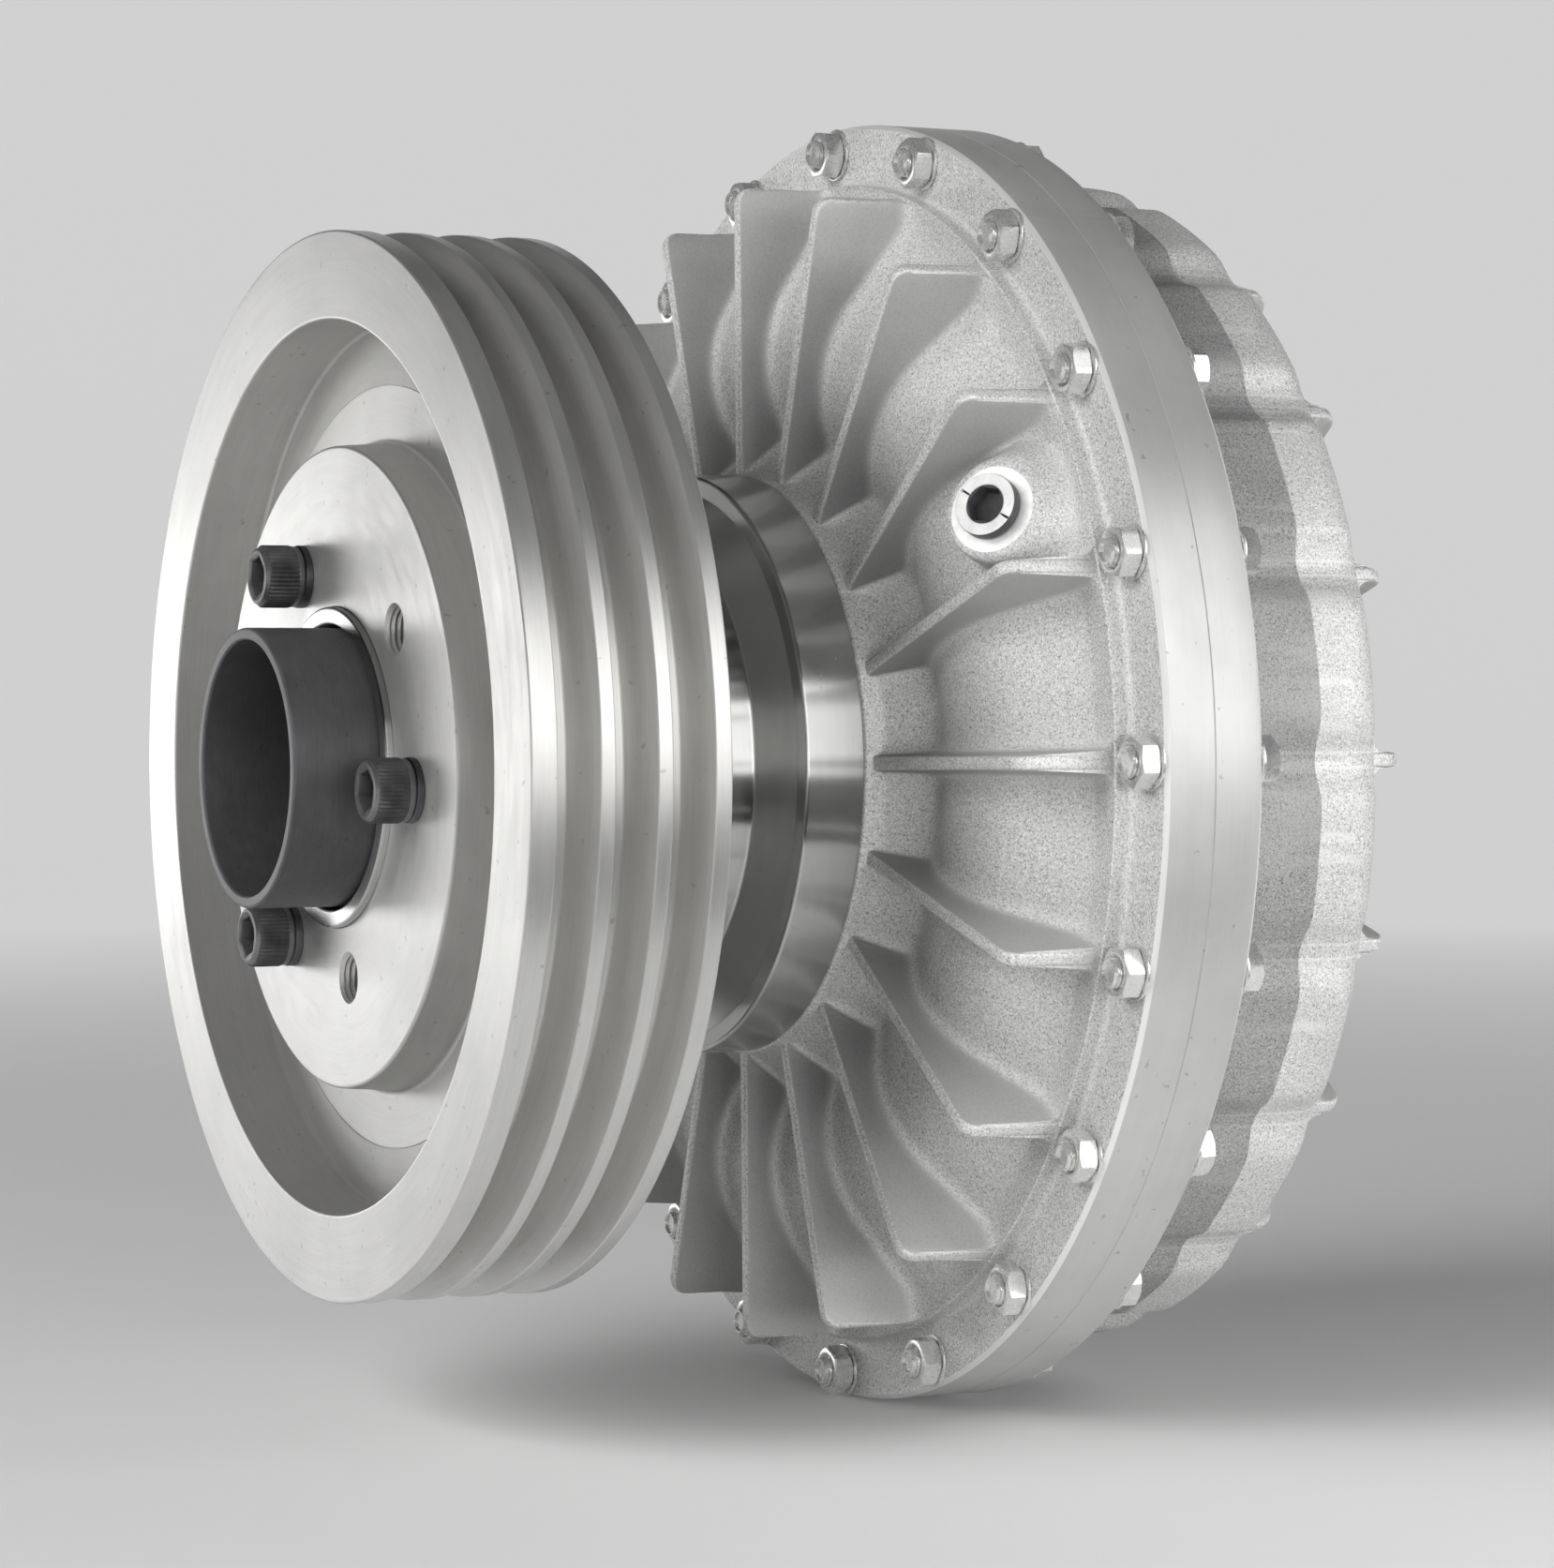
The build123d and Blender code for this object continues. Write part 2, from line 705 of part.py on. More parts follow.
with BuildPart() as hollow_shaft:
    with BuildSketch(Plane.XY):
        with BuildLine():
            Polyline(
                (tube_bore_radius, tube_front + tube_chamfer),
                (tube_bore_radius + tube_chamfer, tube_front),
                (tube_radius - tube_chamfer, tube_front),
                (tube_radius, tube_front + tube_chamfer),
                (tube_radius, circlip_seat - shoulder_length),
                (seat_shaft_radius, circlip_seat - shoulder_length),
                (seat_shaft_radius, circlip_seat),
                (groove_radius, circlip_seat),
                (groove_radius, front_bearing_front),
                (seat_shaft_radius, front_bearing_front),
                (seat_shaft_radius, sleeve_rear),
                (shaft_body_radius, sleeve_rear),
                (shaft_body_radius, web_front - shoulder_length),
                (wheel_register_radius, web_front - shoulder_length),
                (wheel_register_radius, web_rear),
                (shaft_flange_radius, web_rear),
                (shaft_flange_radius, web_rear + shaft_flange_thickness),
                (shaft_body_radius, web_rear + shaft_flange_thickness),
                (shaft_body_radius, rear_bearing_front),
                (seat_shaft_radius, rear_bearing_front),
                (seat_shaft_radius, rear_bearing_rear),
                (groove_radius, rear_bearing_rear),
                (groove_radius, rear_clip_seat),
                (seat_shaft_radius, rear_clip_seat),
                (seat_shaft_radius, seat_end),
                (tube_radius, seat_end),
                (tube_radius, shaft_rear - tube_chamfer),
                (tube_radius - tube_chamfer, shaft_rear),
                (motor_bore_radius + tube_chamfer, shaft_rear),
                (motor_bore_radius, shaft_rear - tube_chamfer),
                (motor_bore_radius, motor_bore_end),
                (tube_bore_radius, motor_bore_end),
                close=True,
            )
        make_face()
    revolve(axis=Axis.Y)
    with BuildSketch(across(shaft_rear)):
        with Locations((0, (motor_bore_radius + key_depth) / 2)):
            Rectangle(key_width, motor_bore_radius + key_depth)
    extrude(amount=motor_bore_depth, mode=Mode.SUBTRACT)
    with BuildSketch(across(web_rear)):
        with PolarLocations(wheel_screw_circle, wheel_screw_count):
            Circle(m8_radius + thread_gap)
    extrude(amount=-shaft_flange_thickness, mode=Mode.SUBTRACT)

# Inner wheel: half ring shell, vanes and bolted web
with BuildPart() as wheel_vane:
    with BuildSketch(Plane.XY.offset(-vane_thickness / 2)):
        with Locations((circuit_radius, wheel_face)):
            Circle(wheel_section_radius - wheel_wall + overlap)
            Circle(core_radius, mode=Mode.SUBTRACT)
        with Locations((circuit_radius, wheel_face + wheel_section_radius)):
            Rectangle(4 * wheel_section_radius, 2 * wheel_section_radius, mode=Mode.SUBTRACT)
    extrude(amount=vane_thickness)

web_reach = circuit_radius - wheel_section_radius + 2 * wheel_wall - wheel_register_radius

with BuildPart() as inner_wheel:
    with BuildSketch(Plane.XY):
        with Locations((circuit_radius, wheel_face)):
            Circle(wheel_section_radius)
        with Locations((wheel_register_radius + fit_gap, web_front)):
            Rectangle(web_reach, web_thickness, align=(Align.MIN, Align.MIN))
        with Locations((circuit_radius, wheel_face)):
            Circle(wheel_section_radius - wheel_wall, mode=Mode.SUBTRACT)
        with Locations((circuit_radius, wheel_face + wheel_section_radius)):
            Rectangle(4 * wheel_section_radius, 2 * wheel_section_radius, mode=Mode.SUBTRACT)
    revolve(axis=Axis.Y)
    for step in range(wheel_vanes):
        add(wheel_vane.part, rotation=(0, step * 360 / wheel_vanes, 0))
    with BuildSketch(across(web_rear)):
        with PolarLocations(wheel_screw_circle, wheel_screw_count):
            Circle(m8_radius + hole_clearance)
    extrude(amount=web_thickness, mode=Mode.SUBTRACT)

m8_sizes = (m8_radius, m8_head_radius, m8_head_height, m8_socket_radius)
wheel_screws = socket_screws(
    wheel_screw_circle,
    wheel_screw_count,
    web_front,
    web_thickness + shaft_flange_thickness,
    m8_sizes,
)

# Neck spool: seat ring, cone, body, pulley flange and nose
spool_ring_front = spool_seat - spool_ring_width
nose_front = boss_front - spool_nose_proud
spigot_rear = hub_inside - spigot_setback
clip_rear = front_bearing_rear + circlip_thickness
seal_groove_middle = spool_seat + seal_groove_offset
seal_groove_half = joint_seal_section + seal_gap
seal_groove_front = seal_groove_middle - seal_groove_half
seal_groove_rear = seal_groove_middle + seal_groove_half
seal_groove_floor = spool_spigot_radius - 2 * joint_seal_section

with BuildPart() as neck_spool:
    with BuildSketch(Plane.XY):
        with BuildLine():
            Polyline(
                (spool_nose_bore, nose_front + edge_break),
                (spool_nose_bore + edge_break, nose_front),
                (spool_nose_radius - edge_break, nose_front),
                (spool_nose_radius - fit_gap, nose_front + edge_break),
                (spool_nose_radius - fit_gap, web_back),
                (spool_flange_radius, web_back),
                (spool_flange_radius, spool_flange_rear),
                (spool_body_radius, spool_flange_rear),
                (spool_body_radius, spool_ring_front - spool_cone_length),
                (spool_face_radius, spool_ring_front),
                (spool_ring_radius - spool_ring_chamfer, spool_ring_front),
                (spool_ring_radius, spool_ring_front + spool_ring_chamfer),
                (spool_ring_radius, spool_seat),
                (spool_spigot_radius, spool_seat),
                (spool_spigot_radius, seal_groove_front),
                (seal_groove_floor, seal_groove_front),
                (seal_groove_floor, seal_groove_rear),
                (spool_spigot_radius, seal_groove_rear),
                (spool_spigot_radius, spigot_rear),
                (bearing_outer_radius + fit_gap, spigot_rear),
                (bearing_outer_radius + fit_gap, clip_rear),
                (bearing_outer_radius + clip_groove_depth, clip_rear),
                (bearing_outer_radius + clip_groove_depth, front_bearing_rear),
                (bearing_outer_radius + fit_gap, front_bearing_rear),
                (bearing_outer_radius + fit_gap, front_bearing_front),
                (seal_outer_radius, front_bearing_front),
                (seal_outer_radius, web_back + spool_front_wall),
                (spool_nose_bore, web_back + spool_front_wall),
                close=True,
            )
        make_face()
    revolve(axis=Axis.Y)
    with BuildSketch(across(spool_flange_rear)):
        with PolarLocations(pulley_screw_circle, pulley_screw_count, start_angle=pulley_screw_angle):
            Circle(pulley_screw_radius + thread_gap)
    extrude(amount=spool_flange_thickness, mode=Mode.SUBTRACT)
    with BuildSketch(across(spool_seat)):
        with PolarLocations(spool_screw_circle, spool_screw_count):
            Circle(m8_radius + thread_gap)
    extrude(amount=spool_screw_grip + screw_end_gap, mode=Mode.SUBTRACT)

spool_screws = socket_screws(
    spool_screw_circle,
    spool_screw_count,
    hub_inside,
    hub_thickness + spool_screw_grip,
    m8_sizes,
    out=-1.0,
)

# Pulley: grooved rim, web with a conical band, hub boss
groove_lean = math.tan(math.radians(belt_groove_angle / 2))
groove_half_floor = belt_groove_width / 2 - belt_groove_depth * groove_lean
web_rim_level = web_face + web_cone_rise
rim_outline = [(rim_inner_radius, pulley_front), (pulley_radius, pulley_front)]
for index in range(belt_groove_count):
    middle = pulley_front + front_land + belt_groove_width / 2 + index * belt_groove_pitch
    rim_outline.append((pulley_radius, middle - belt_groove_width / 2))
    rim_outline.append((pulley_radius - belt_groove_depth, middle - groove_half_floor))
    rim_outline.append((pulley_radius - belt_groove_depth, middle + groove_half_floor))
    rim_outline.append((pulley_radius, middle + belt_groove_width / 2))
rim_outline.append((pulley_radius, pulley_rear))
rim_outline.append((rim_inner_radius, pulley_rear))

with BuildPart() as v_belt_pulley:
    with BuildSketch(Plane.XY):
        with BuildLine():
            FilletPolyline(
                (spool_nose_radius, boss_front),
                (boss_radius, boss_front),
                (boss_radius + boss_flare, web_face),
                (web_flat_radius, web_face),
                (rim_inner_radius, web_rim_level),
                (rim_inner_radius, pulley_front),
                radius=[boss_edge_fillet, boss_root_fillet, web_cone_fillet, web_fillet],
            )
            Polyline(*rim_outline)
            FilletPolyline(
                (rim_inner_radius, pulley_rear),
                (rim_inner_radius, web_back),
                (spool_nose_radius, web_back),
                radius=web_fillet,
            )
            Line((spool_nose_radius, web_back), (spool_nose_radius, boss_front))
        make_face()
    revolve(axis=Axis.Y)
    with BuildSketch(across(web_back)):
        with PolarLocations(pulley_screw_circle, pulley_screw_count, start_angle=pulley_screw_angle):
            Circle(pulley_screw_radius + hole_clearance)
        with PolarLocations(
            pulley_screw_circle,
            pulley_screw_count,
            start_angle=pulley_screw_angle + jack_hole_angle,
        ):
            Circle(jack_hole_radius)
    extrude(amount=web_back - boss_front, mode=Mode.SUBTRACT)

with BuildPart() as pulley_lock_washers:
    with BuildSketch(across(boss_front)):
        with PolarLocations(pulley_screw_circle, pulley_screw_count, start_angle=pulley_screw_angle):
            Circle(pulley_screw_head_radius)
            Circle(pulley_screw_radius + hole_clearance, mode=Mode.SUBTRACT)
    extrude(amount=lock_washer_thickness)

pulley_screw_sizes = (
    pulley_screw_radius,
    pulley_screw_head_radius,
    pulley_screw_head_height,
    pulley_screw_socket_radius,
)
pulley_screws = socket_screws(
    pulley_screw_circle,
    pulley_screw_count,
    boss_front - lock_washer_thickness,
    spool_flange_rear - screw_end_gap - boss_front + lock_washer_thickness,
    pulley_screw_sizes,
    start=pulley_screw_angle,
)

# Seal between spool and front shell, in a groove of the spool's spigot
spool_seal_radius = spool_spigot_radius - joint_seal_section + fit_gap / 2

with BuildPart() as spool_seal:
    with BuildSketch(Plane.XY):
        with Locations((spool_seal_radius, seal_groove_middle)):
            Circle(joint_seal_section)
    revolve(axis=Axis.Y)

# Spacer sleeve on the shaft, between the front bearing and the shaft's shoulder
seat_bore = seat_shaft_radius + fit_gap
spacer_sleeve = ring(sleeve_radius, seat_bore, front_bearing_rear, sleeve_rear)

# Front bearing: rings, cylindrical rollers, cage
front_outer_ring = ring(
    bearing_outer_radius,
    outer_ring_radius,
    front_bearing_front,
    front_bearing_rear,
)
front_inner_ring = ring(inner_ring_radius, seat_bore, front_bearing_front, front_bearing_rear)

with BuildPart() as front_rollers:
    with BuildSketch(across(front_bearing_rear - roller_end_gap)):
        with PolarLocations(bearing_centre_radius, roller_count):
            Circle(roller_radius)
    extrude(amount=bearing_width - 2 * roller_end_gap)

with BuildPart() as front_cage:
    with BuildSketch(across(front_bearing_rear - cage_end_gap)):
        Circle(bearing_centre_radius + cage_wall / 2)
        Circle(bearing_centre_radius - cage_wall / 2, mode=Mode.SUBTRACT)
    extrude(amount=bearing_width - 2 * cage_end_gap)
    with BuildSketch(across(front_bearing_rear - roller_end_gap + pocket_gap)):
        with PolarLocations(bearing_centre_radius, roller_count):
            Rectangle(3 * cage_wall, 2 * (roller_radius + pocket_gap))
    extrude(amount=bearing_width - 2 * roller_end_gap + 2 * pocket_gap, mode=Mode.SUBTRACT)

# Rear bearing: grooved rings, balls, cage
rear_bearing_middle = rear_bearing_front + bearing_width / 2
ball_groove = ball_radius + running_gap
ring_depth = bearing_section / 2 - ball_land
ball_turns = [2 * math.pi * step / ball_count for step in range(ball_count)]


def ball_centre(turn):
    """The middle of one ball of the rear bearing."""
    across_axis = bearing_centre_radius * math.cos(turn)
    upward = bearing_centre_radius * math.sin(turn)
    return (across_axis, rear_bearing_middle, upward)


with BuildPart() as rear_outer_ring:
    with BuildSketch(Plane.XY):
        with Locations((bearing_centre_radius + ball_land, rear_bearing_front)):
            Rectangle(ring_depth, bearing_width, align=(Align.MIN, Align.MIN))
        with Locations((bearing_centre_radius, rear_bearing_middle)):
            Circle(ball_groove, mode=Mode.SUBTRACT)
    revolve(axis=Axis.Y)

with BuildPart() as rear_inner_ring:
    with BuildSketch(Plane.XY):
        with Locations((seat_bore, rear_bearing_front)):
            Rectangle(ring_depth - fit_gap, bearing_width, align=(Align.MIN, Align.MIN))
        with Locations((bearing_centre_radius, rear_bearing_middle)):
            Circle(ball_groove, mode=Mode.SUBTRACT)
    revolve(axis=Axis.Y)

with BuildPart() as rear_balls:
    with Locations(*[ball_centre(turn) for turn in ball_turns]):
        Sphere(ball_radius)

with BuildPart() as rear_cage:
    with BuildSketch(across(rear_bearing_middle + rear_cage_width / 2)):
        Circle(bearing_centre_radius + cage_wall / 2)
        Circle(bearing_centre_radius - cage_wall / 2, mode=Mode.SUBTRACT)
    extrude(amount=rear_cage_width)
    for turn in ball_turns:
        with BuildSketch(Plane(origin=ball_centre(turn), z_dir=(math.cos(turn), 0, math.sin(turn)))):
            Circle(ball_radius + pocket_gap)
        extrude(amount=cage_wall, both=True, mode=Mode.SUBTRACT)


# Retaining rings: open rings in the grooves of shaft and spool
def circlip(outer, inner, low, opening):
    """An open retaining ring. Its opening is at the top."""
    with BuildPart() as piece:
        with BuildSketch(across(low + circlip_thickness)):
            Circle(outer)
            Circle(inner, mode=Mode.SUBTRACT)
            with Locations((0, outer)):
                Rectangle(opening, 3 * circlip_width, mode=Mode.SUBTRACT)
        extrude(amount=circlip_thickness)
    return piece


shaft_clip_outer = groove_radius + circlip_width
shaft_clip_bore = groove_radius + fit_gap
shaft_clip_front = circlip(shaft_clip_outer, shaft_clip_bore, circlip_seat, shaft_clip_opening)
shaft_clip_rear = circlip(shaft_clip_outer, shaft_clip_bore, rear_bearing_rear, shaft_clip_opening)
spool_clip = circlip(
    bearing_outer_radius + clip_groove_depth - fit_gap,
    bearing_outer_radius + clip_groove_depth - circlip_width,
    front_bearing_rear,
    spool_clip_opening,
)

# Lip seals: a case with a lip that runs on the sleeve or the shaft end
front_oil_seal = ring(
    bearing_outer_radius,
    sleeve_radius + running_gap,
    spigot_rear - front_seal_setback - front_seal_width,
    spigot_rear - front_seal_setback,
)
cover_rear = rear_face + cover_thickness
rear_oil_seal = ring(
    seal_outer_radius - fit_gap,
    tube_radius + running_gap,
    cover_rear - seal_width,
    cover_rear,
)

# Rear bearing cover and its screws
with BuildPart() as rear_bearing_cover:
    with BuildSketch(across(cover_rear)):
        Circle(cover_radius)
        Circle(seal_outer_radius, mode=Mode.SUBTRACT)
        with PolarLocations(cover_screw_circle, cover_screw_count):
            Circle(m6_radius + small_hole_clearance, mode=Mode.SUBTRACT)
    extrude(amount=cover_thickness)
    with BuildSketch(across(rear_face)):
        Circle(bearing_outer_radius - fit_gap)
        Circle(seal_outer_radius, mode=Mode.SUBTRACT)
    extrude(amount=rear_face - rear_bearing_rear)

m6_sizes = (m6_radius, m6_head_radius, m6_head_height, m6_socket_radius)
cover_screws = socket_screws(
    cover_screw_circle,
    cover_screw_count,
    cover_rear,
    cover_thickness + cover_screw_grip,
    m6_sizes,
    out=-1.0,
)

pieces = {
    "front_shell": front_shell,
    "rear_shell": rear_shell,
    "joint_seal": joint_seal,
    "flange_bolts": flange_bolts,
    "flange_nuts": flange_nuts,
    "front_washers": front_washers,
    "rear_washers": rear_washers,
    "filler_plugs": filler_plugs,
    "filler_plug_seals": filler_plug_seals,
    "fusible_plugs": fusible_plugs,
    "fusible_plug_seals": fusible_plug_seals,
    "hollow_shaft": hollow_shaft,
    "inner_wheel": inner_wheel,
    "wheel_screws": wheel_screws,
    "neck_spool": neck_spool,
    "spool_screws": spool_screws,
    "spool_seal": spool_seal,
    "v_belt_pulley": v_belt_pulley,
    "pulley_screws": pulley_screws,
    "pulley_lock_washers": pulley_lock_washers,
    "spacer_sleeve": spacer_sleeve,
    "front_outer_ring": front_outer_ring,
    "front_inner_ring": front_inner_ring,
    "front_rollers": front_rollers,
    "front_cage": front_cage,
    "rear_outer_ring": rear_outer_ring,
    "rear_inner_ring": rear_inner_ring,
    "rear_balls": rear_balls,
    "rear_cage": rear_cage,
    "shaft_clip_front": shaft_clip_front,
    "shaft_clip_rear": shaft_clip_rear,
    "spool_clip": spool_clip,
    "front_oil_seal": front_oil_seal,
    "rear_oil_seal": rear_oil_seal,
    "rear_bearing_cover": rear_bearing_cover,
    "cover_screws": cover_screws,
}
for name, piece in pieces.items():
    piece.part.label = name
    export_step(piece.part, f"parts/{name}.step")
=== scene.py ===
"""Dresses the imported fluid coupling: cast shells, turned pulley and neck, fasteners, and a plain studio.

Forms are worked out in millimetres, and become metres where a mesh is made. The studio is in metres.
"""

import math
from dataclasses import dataclass
from functools import partial
from types import SimpleNamespace

import bpy
import numpy as np
from mathutils import Matrix, Vector


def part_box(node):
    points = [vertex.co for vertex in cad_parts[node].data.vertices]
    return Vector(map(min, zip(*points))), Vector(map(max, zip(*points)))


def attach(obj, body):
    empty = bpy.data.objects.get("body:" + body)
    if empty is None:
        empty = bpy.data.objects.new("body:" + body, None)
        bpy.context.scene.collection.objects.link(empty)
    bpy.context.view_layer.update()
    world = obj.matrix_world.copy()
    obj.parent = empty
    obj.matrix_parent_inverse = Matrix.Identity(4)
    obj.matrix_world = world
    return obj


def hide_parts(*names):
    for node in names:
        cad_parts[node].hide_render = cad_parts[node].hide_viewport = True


bl_info = {
    "name": "Fluid coupling dresser",
    "version": (1, 0, 0),
    "blender": (4, 5, 0),
    "location": "View3D > Sidebar > Coupling",
    "description": "Builds the finished surfaces of a finned fluid coupling around its packed frame",
    "category": "Object",
}

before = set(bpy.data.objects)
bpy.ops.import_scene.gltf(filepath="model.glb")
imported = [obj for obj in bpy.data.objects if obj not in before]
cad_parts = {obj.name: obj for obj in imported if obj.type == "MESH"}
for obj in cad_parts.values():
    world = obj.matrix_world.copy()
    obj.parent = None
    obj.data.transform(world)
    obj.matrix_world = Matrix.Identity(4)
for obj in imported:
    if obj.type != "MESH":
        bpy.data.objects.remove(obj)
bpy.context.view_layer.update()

MM = 0.001
FULL_TURN = 2 * math.pi
SECTORS = 20
PITCH = FULL_TURN / SECTORS
TURN = math.radians(1.0)
FRONTWARD, REARWARD = (0.0, -1.0, 0.0), (0.0, 1.0, 0.0)

# Plugs: their tilt, shank radius, the turns at which they stand, and each seat's radius and height
SEAT_TILT = math.radians(38.0)
PLUG_SHANK = 8.0
PLUG_TURNS = (TURN + 1.5 * PITCH, TURN + 1.5 * PITCH + math.pi)
FRONT_SEAT = (176.3, 43.4)
REAR_SEAT = (179.0, 78.0)

# Pulley screws: the first screw's turn, and how far the boss face lies behind the rim's front
FIRST_SCREW = math.radians(-5.0)
BOSS_SET_BACK = 4.9

# A height that no surface reaches, for rows where a shell has no fin
NO_FIN = -1000.0


def box_mm(name):
    """The low and high corner of a node's packed box."""
    return [SimpleNamespace(x=end.x / MM, y=end.y / MM, z=end.z / MM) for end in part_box(name)]


SHELL_LOW, SHELL_HIGH = box_mm("front_shell")
_, REAR_HIGH = box_mm("rear_shell")
PULLEY_LOW, PULLEY_HIGH = box_mm("v_belt_pulley")
SPOOL_LOW, SPOOL_HIGH = box_mm("neck_spool")
SHAFT_LOW, SHAFT_HIGH = box_mm("hollow_shaft")
COVER_LOW, COVER_HIGH = box_mm("rear_bearing_cover")
WASHER_LOW, WASHER_HIGH = box_mm("front_washers")


def length(name, description, value):
    """A length that a user can change. Its default is given in millimetres."""
    return bpy.props.FloatProperty(
        name=name, description=description, default=value * MM, precision=4, unit="LENGTH", min=0.0
    )


def number(name, description, value):
    """A plain share or factor that a user can change."""
    return bpy.props.FloatProperty(name=name, description=description, default=value, min=0.0)


def colour(name, description, *value):
    """A grey or tinted base colour that a user can change."""
    return bpy.props.FloatVectorProperty(
        name=name, description=description, default=(*value, 1.0), size=4, min=0.0, max=1.0, subtype="COLOR"
    )


class CouplingShellSizes(bpy.types.PropertyGroup):
    """Sizes of the two cast shells."""

    flange_radius: length("Flange radius", "Outer radius of the bolted flange", SHELL_HIGH.x)
    flange_depth: length("Flange depth", "Thickness of each shell's flange", -WASHER_HIGH.y)
    edge_chamfer: length("Flange chamfer", "Bright turned chamfer on the flange", 1.5)
    joint_break: length("Joint break", "Small break at the joint line", 0.3)
    fin_thickness: length("Fin thickness", "Thickness at a fin's top", 4.6)
    fin_edge: length("Fin edge", "Rounding of a fin's cast edge", 1.2)
    fin_root: length("Fin root", "Fillet where a fin leaves the shell", 4.5)
    flute_depth: length("Flute depth", "Depth of the barrel's flutes", 4.5)
    flute_half: length("Flute half width", "Half the width of a flute", 11.5)


class CouplingTurnedSizes(bpy.types.PropertyGroup):
    """Sizes of the pulley, neck and shaft."""

    pulley_radius: length("Pulley radius", "Outer radius of the pulley", PULLEY_HIGH.x)
    groove_width: length("Groove width", "Belt groove width at the top", 14.2)
    groove_depth: length("Groove depth", "Belt groove depth", 15.0)
    groove_pitch: length("Groove pitch", "Distance between belt grooves", 19.0)
    front_land: length("Front land", "Width of the land in front of the first groove", 8.6)
    boss_radius: length("Boss radius", "Radius of the pulley's hub boss", 106.0)
    rim_inner: length("Rim inside", "Inner radius of the pulley's rim", 147.3)
    ring_radius: length("Neck ring", "Radius of the polished neck ring", SPOOL_HIGH.x)
    tube_radius: length("Tube radius", "Outer radius of the shaft's tube", 46.0)
    tube_bore: length("Tube bore", "Bore of the shaft's tube", 42.0)


class CouplingFastenerSizes(bpy.types.PropertyGroup):
    """Sizes of nuts, bolts, washers, plugs and screws."""

    bolt_circle: length("Bolt circle", "Radius of the flange bolt circle", 211.0)
    bolt_radius: length("Bolt radius", "Radius of the bolt's thread", 5.0)
    hex_flats: length("Width across flats", "Nuts and bolt heads", 15.0)
    nut_height: length("Nut height", "Height of a nut", 6.8)
    washer_radius: length("Washer radius", "Outer radius of a washer", 9.0)
    screw_circle: length("Screw circle", "Radius of the pulley's screw circle", 70.0)


class CouplingFinish(bpy.types.PropertyGroup):
    """Base colours of the finishes."""

    cast: colour("Cast aluminium", "Sand cast shells", 0.70, 0.70, 0.69)
    machined: colour("Machined aluminium", "Turned flange rim and seats", 0.60, 0.60, 0.59)
    iron: colour("Turned iron", "Pulley", 0.72, 0.715, 0.70)
    steel: colour("Turned steel", "Neck", 0.66, 0.66, 0.65)
    tube: colour("Dark steel", "Shaft tube", 0.115, 0.115, 0.12)
    black: colour("Black oxide", "Socket screws", 0.085, 0.085, 0.088)
    zinc: colour("Zinc", "Nuts, bolts and washers", 0.80, 0.80, 0.79)


class CouplingStudio(bpy.types.PropertyGroup):
    """The plain pale studio."""

    floor: colour("Floor", "Colour of the floor and backdrop", 0.80, 0.80, 0.80)
    key: number("Key", "Brightness of the low strip light along the shaft", 9.6)
    glow: number("Glow", "Brightness of the strip that the turned parts mirror", 1.55)
    fill: number("Fill", "Brightness of the light in front, above the camera", 10.5)
    side: number("Side", "Brightness of the low light to the left of the pulley", 2.8)
    wash: number("Wash", "Brightness of the light on the floor to the right, which throws light up", 6.0)
    world: number("World", "Strength of the pale surroundings", 0.09)


GROUPS = {
    "coupling_shells": CouplingShellSizes,
    "coupling_turned": CouplingTurnedSizes,
    "coupling_fasteners": CouplingFastenerSizes,
    "coupling_finish": CouplingFinish,
    "coupling_studio": CouplingStudio,
}


def in_mm(group):
    """A group's lengths in millimetres."""
    return SimpleNamespace(**{name: getattr(group, name) / MM for name in type(group).__annotations__})


# Forms
@dataclass
class Form:
    """Closed solids: points, faces as a run of corners with a total each, and a finish number per face."""

    points: np.ndarray
    loops: np.ndarray
    totals: np.ndarray
    finish: np.ndarray


def around(radii, levels, angles):
    """Points round the shaft axis for arrays of radius, level and angle."""
    radii, levels, angles = np.broadcast_arrays(radii, levels, angles)
    return np.stack((radii * np.cos(angles), levels, radii * np.sin(angles)), axis=-1)


def upright(radii, heights, angles):
    """Points round a local +Z axis."""
    return around(radii, heights, angles)[..., [0, 2, 1]]


def grid(points, loop_rows=False, caps=False, finish=0):
    """A form from rows of points. Columns close on themselves; rows close too where loop_rows is set."""
    rows, columns = points.shape[:2]
    index = np.arange(rows * columns).reshape(rows, columns)
    low = index if loop_rows else index[:-1]
    high = np.roll(index, -1, axis=0) if loop_rows else index[1:]
    quads = np.stack((low, high, np.roll(high, -1, axis=1), np.roll(low, -1, axis=1)), axis=-1)
    loops = quads.reshape(-1)
    totals = np.full(len(low) * columns, 4)
    numbers = np.repeat(np.broadcast_to(np.asarray(finish), len(low)), columns)
    if caps:
        loops = np.concatenate((loops, index[0], index[-1][::-1]))
        totals = np.concatenate((totals, [columns, columns]))
        numbers = np.concatenate((numbers, numbers[:1], numbers[-1:]))
    return Form(points.reshape(-1, 3), loops, totals, numbers)


def joined(forms):
    """Several forms as one."""
    firsts = np.cumsum([0] + [len(form.points) for form in forms])
    return Form(
        np.concatenate([form.points for form in forms]),
        np.concatenate([form.loops + first for form, first in zip(forms, firsts)]),
        np.concatenate([form.totals for form in forms]),
        np.concatenate([form.finish for form in forms]),
    )


def placed(form, place):
    """A form moved to a place."""
    turn = np.array(place.to_3x3())
    return Form(form.points @ turn.T + np.array(place.translation), form.loops, form.totals, form.finish)


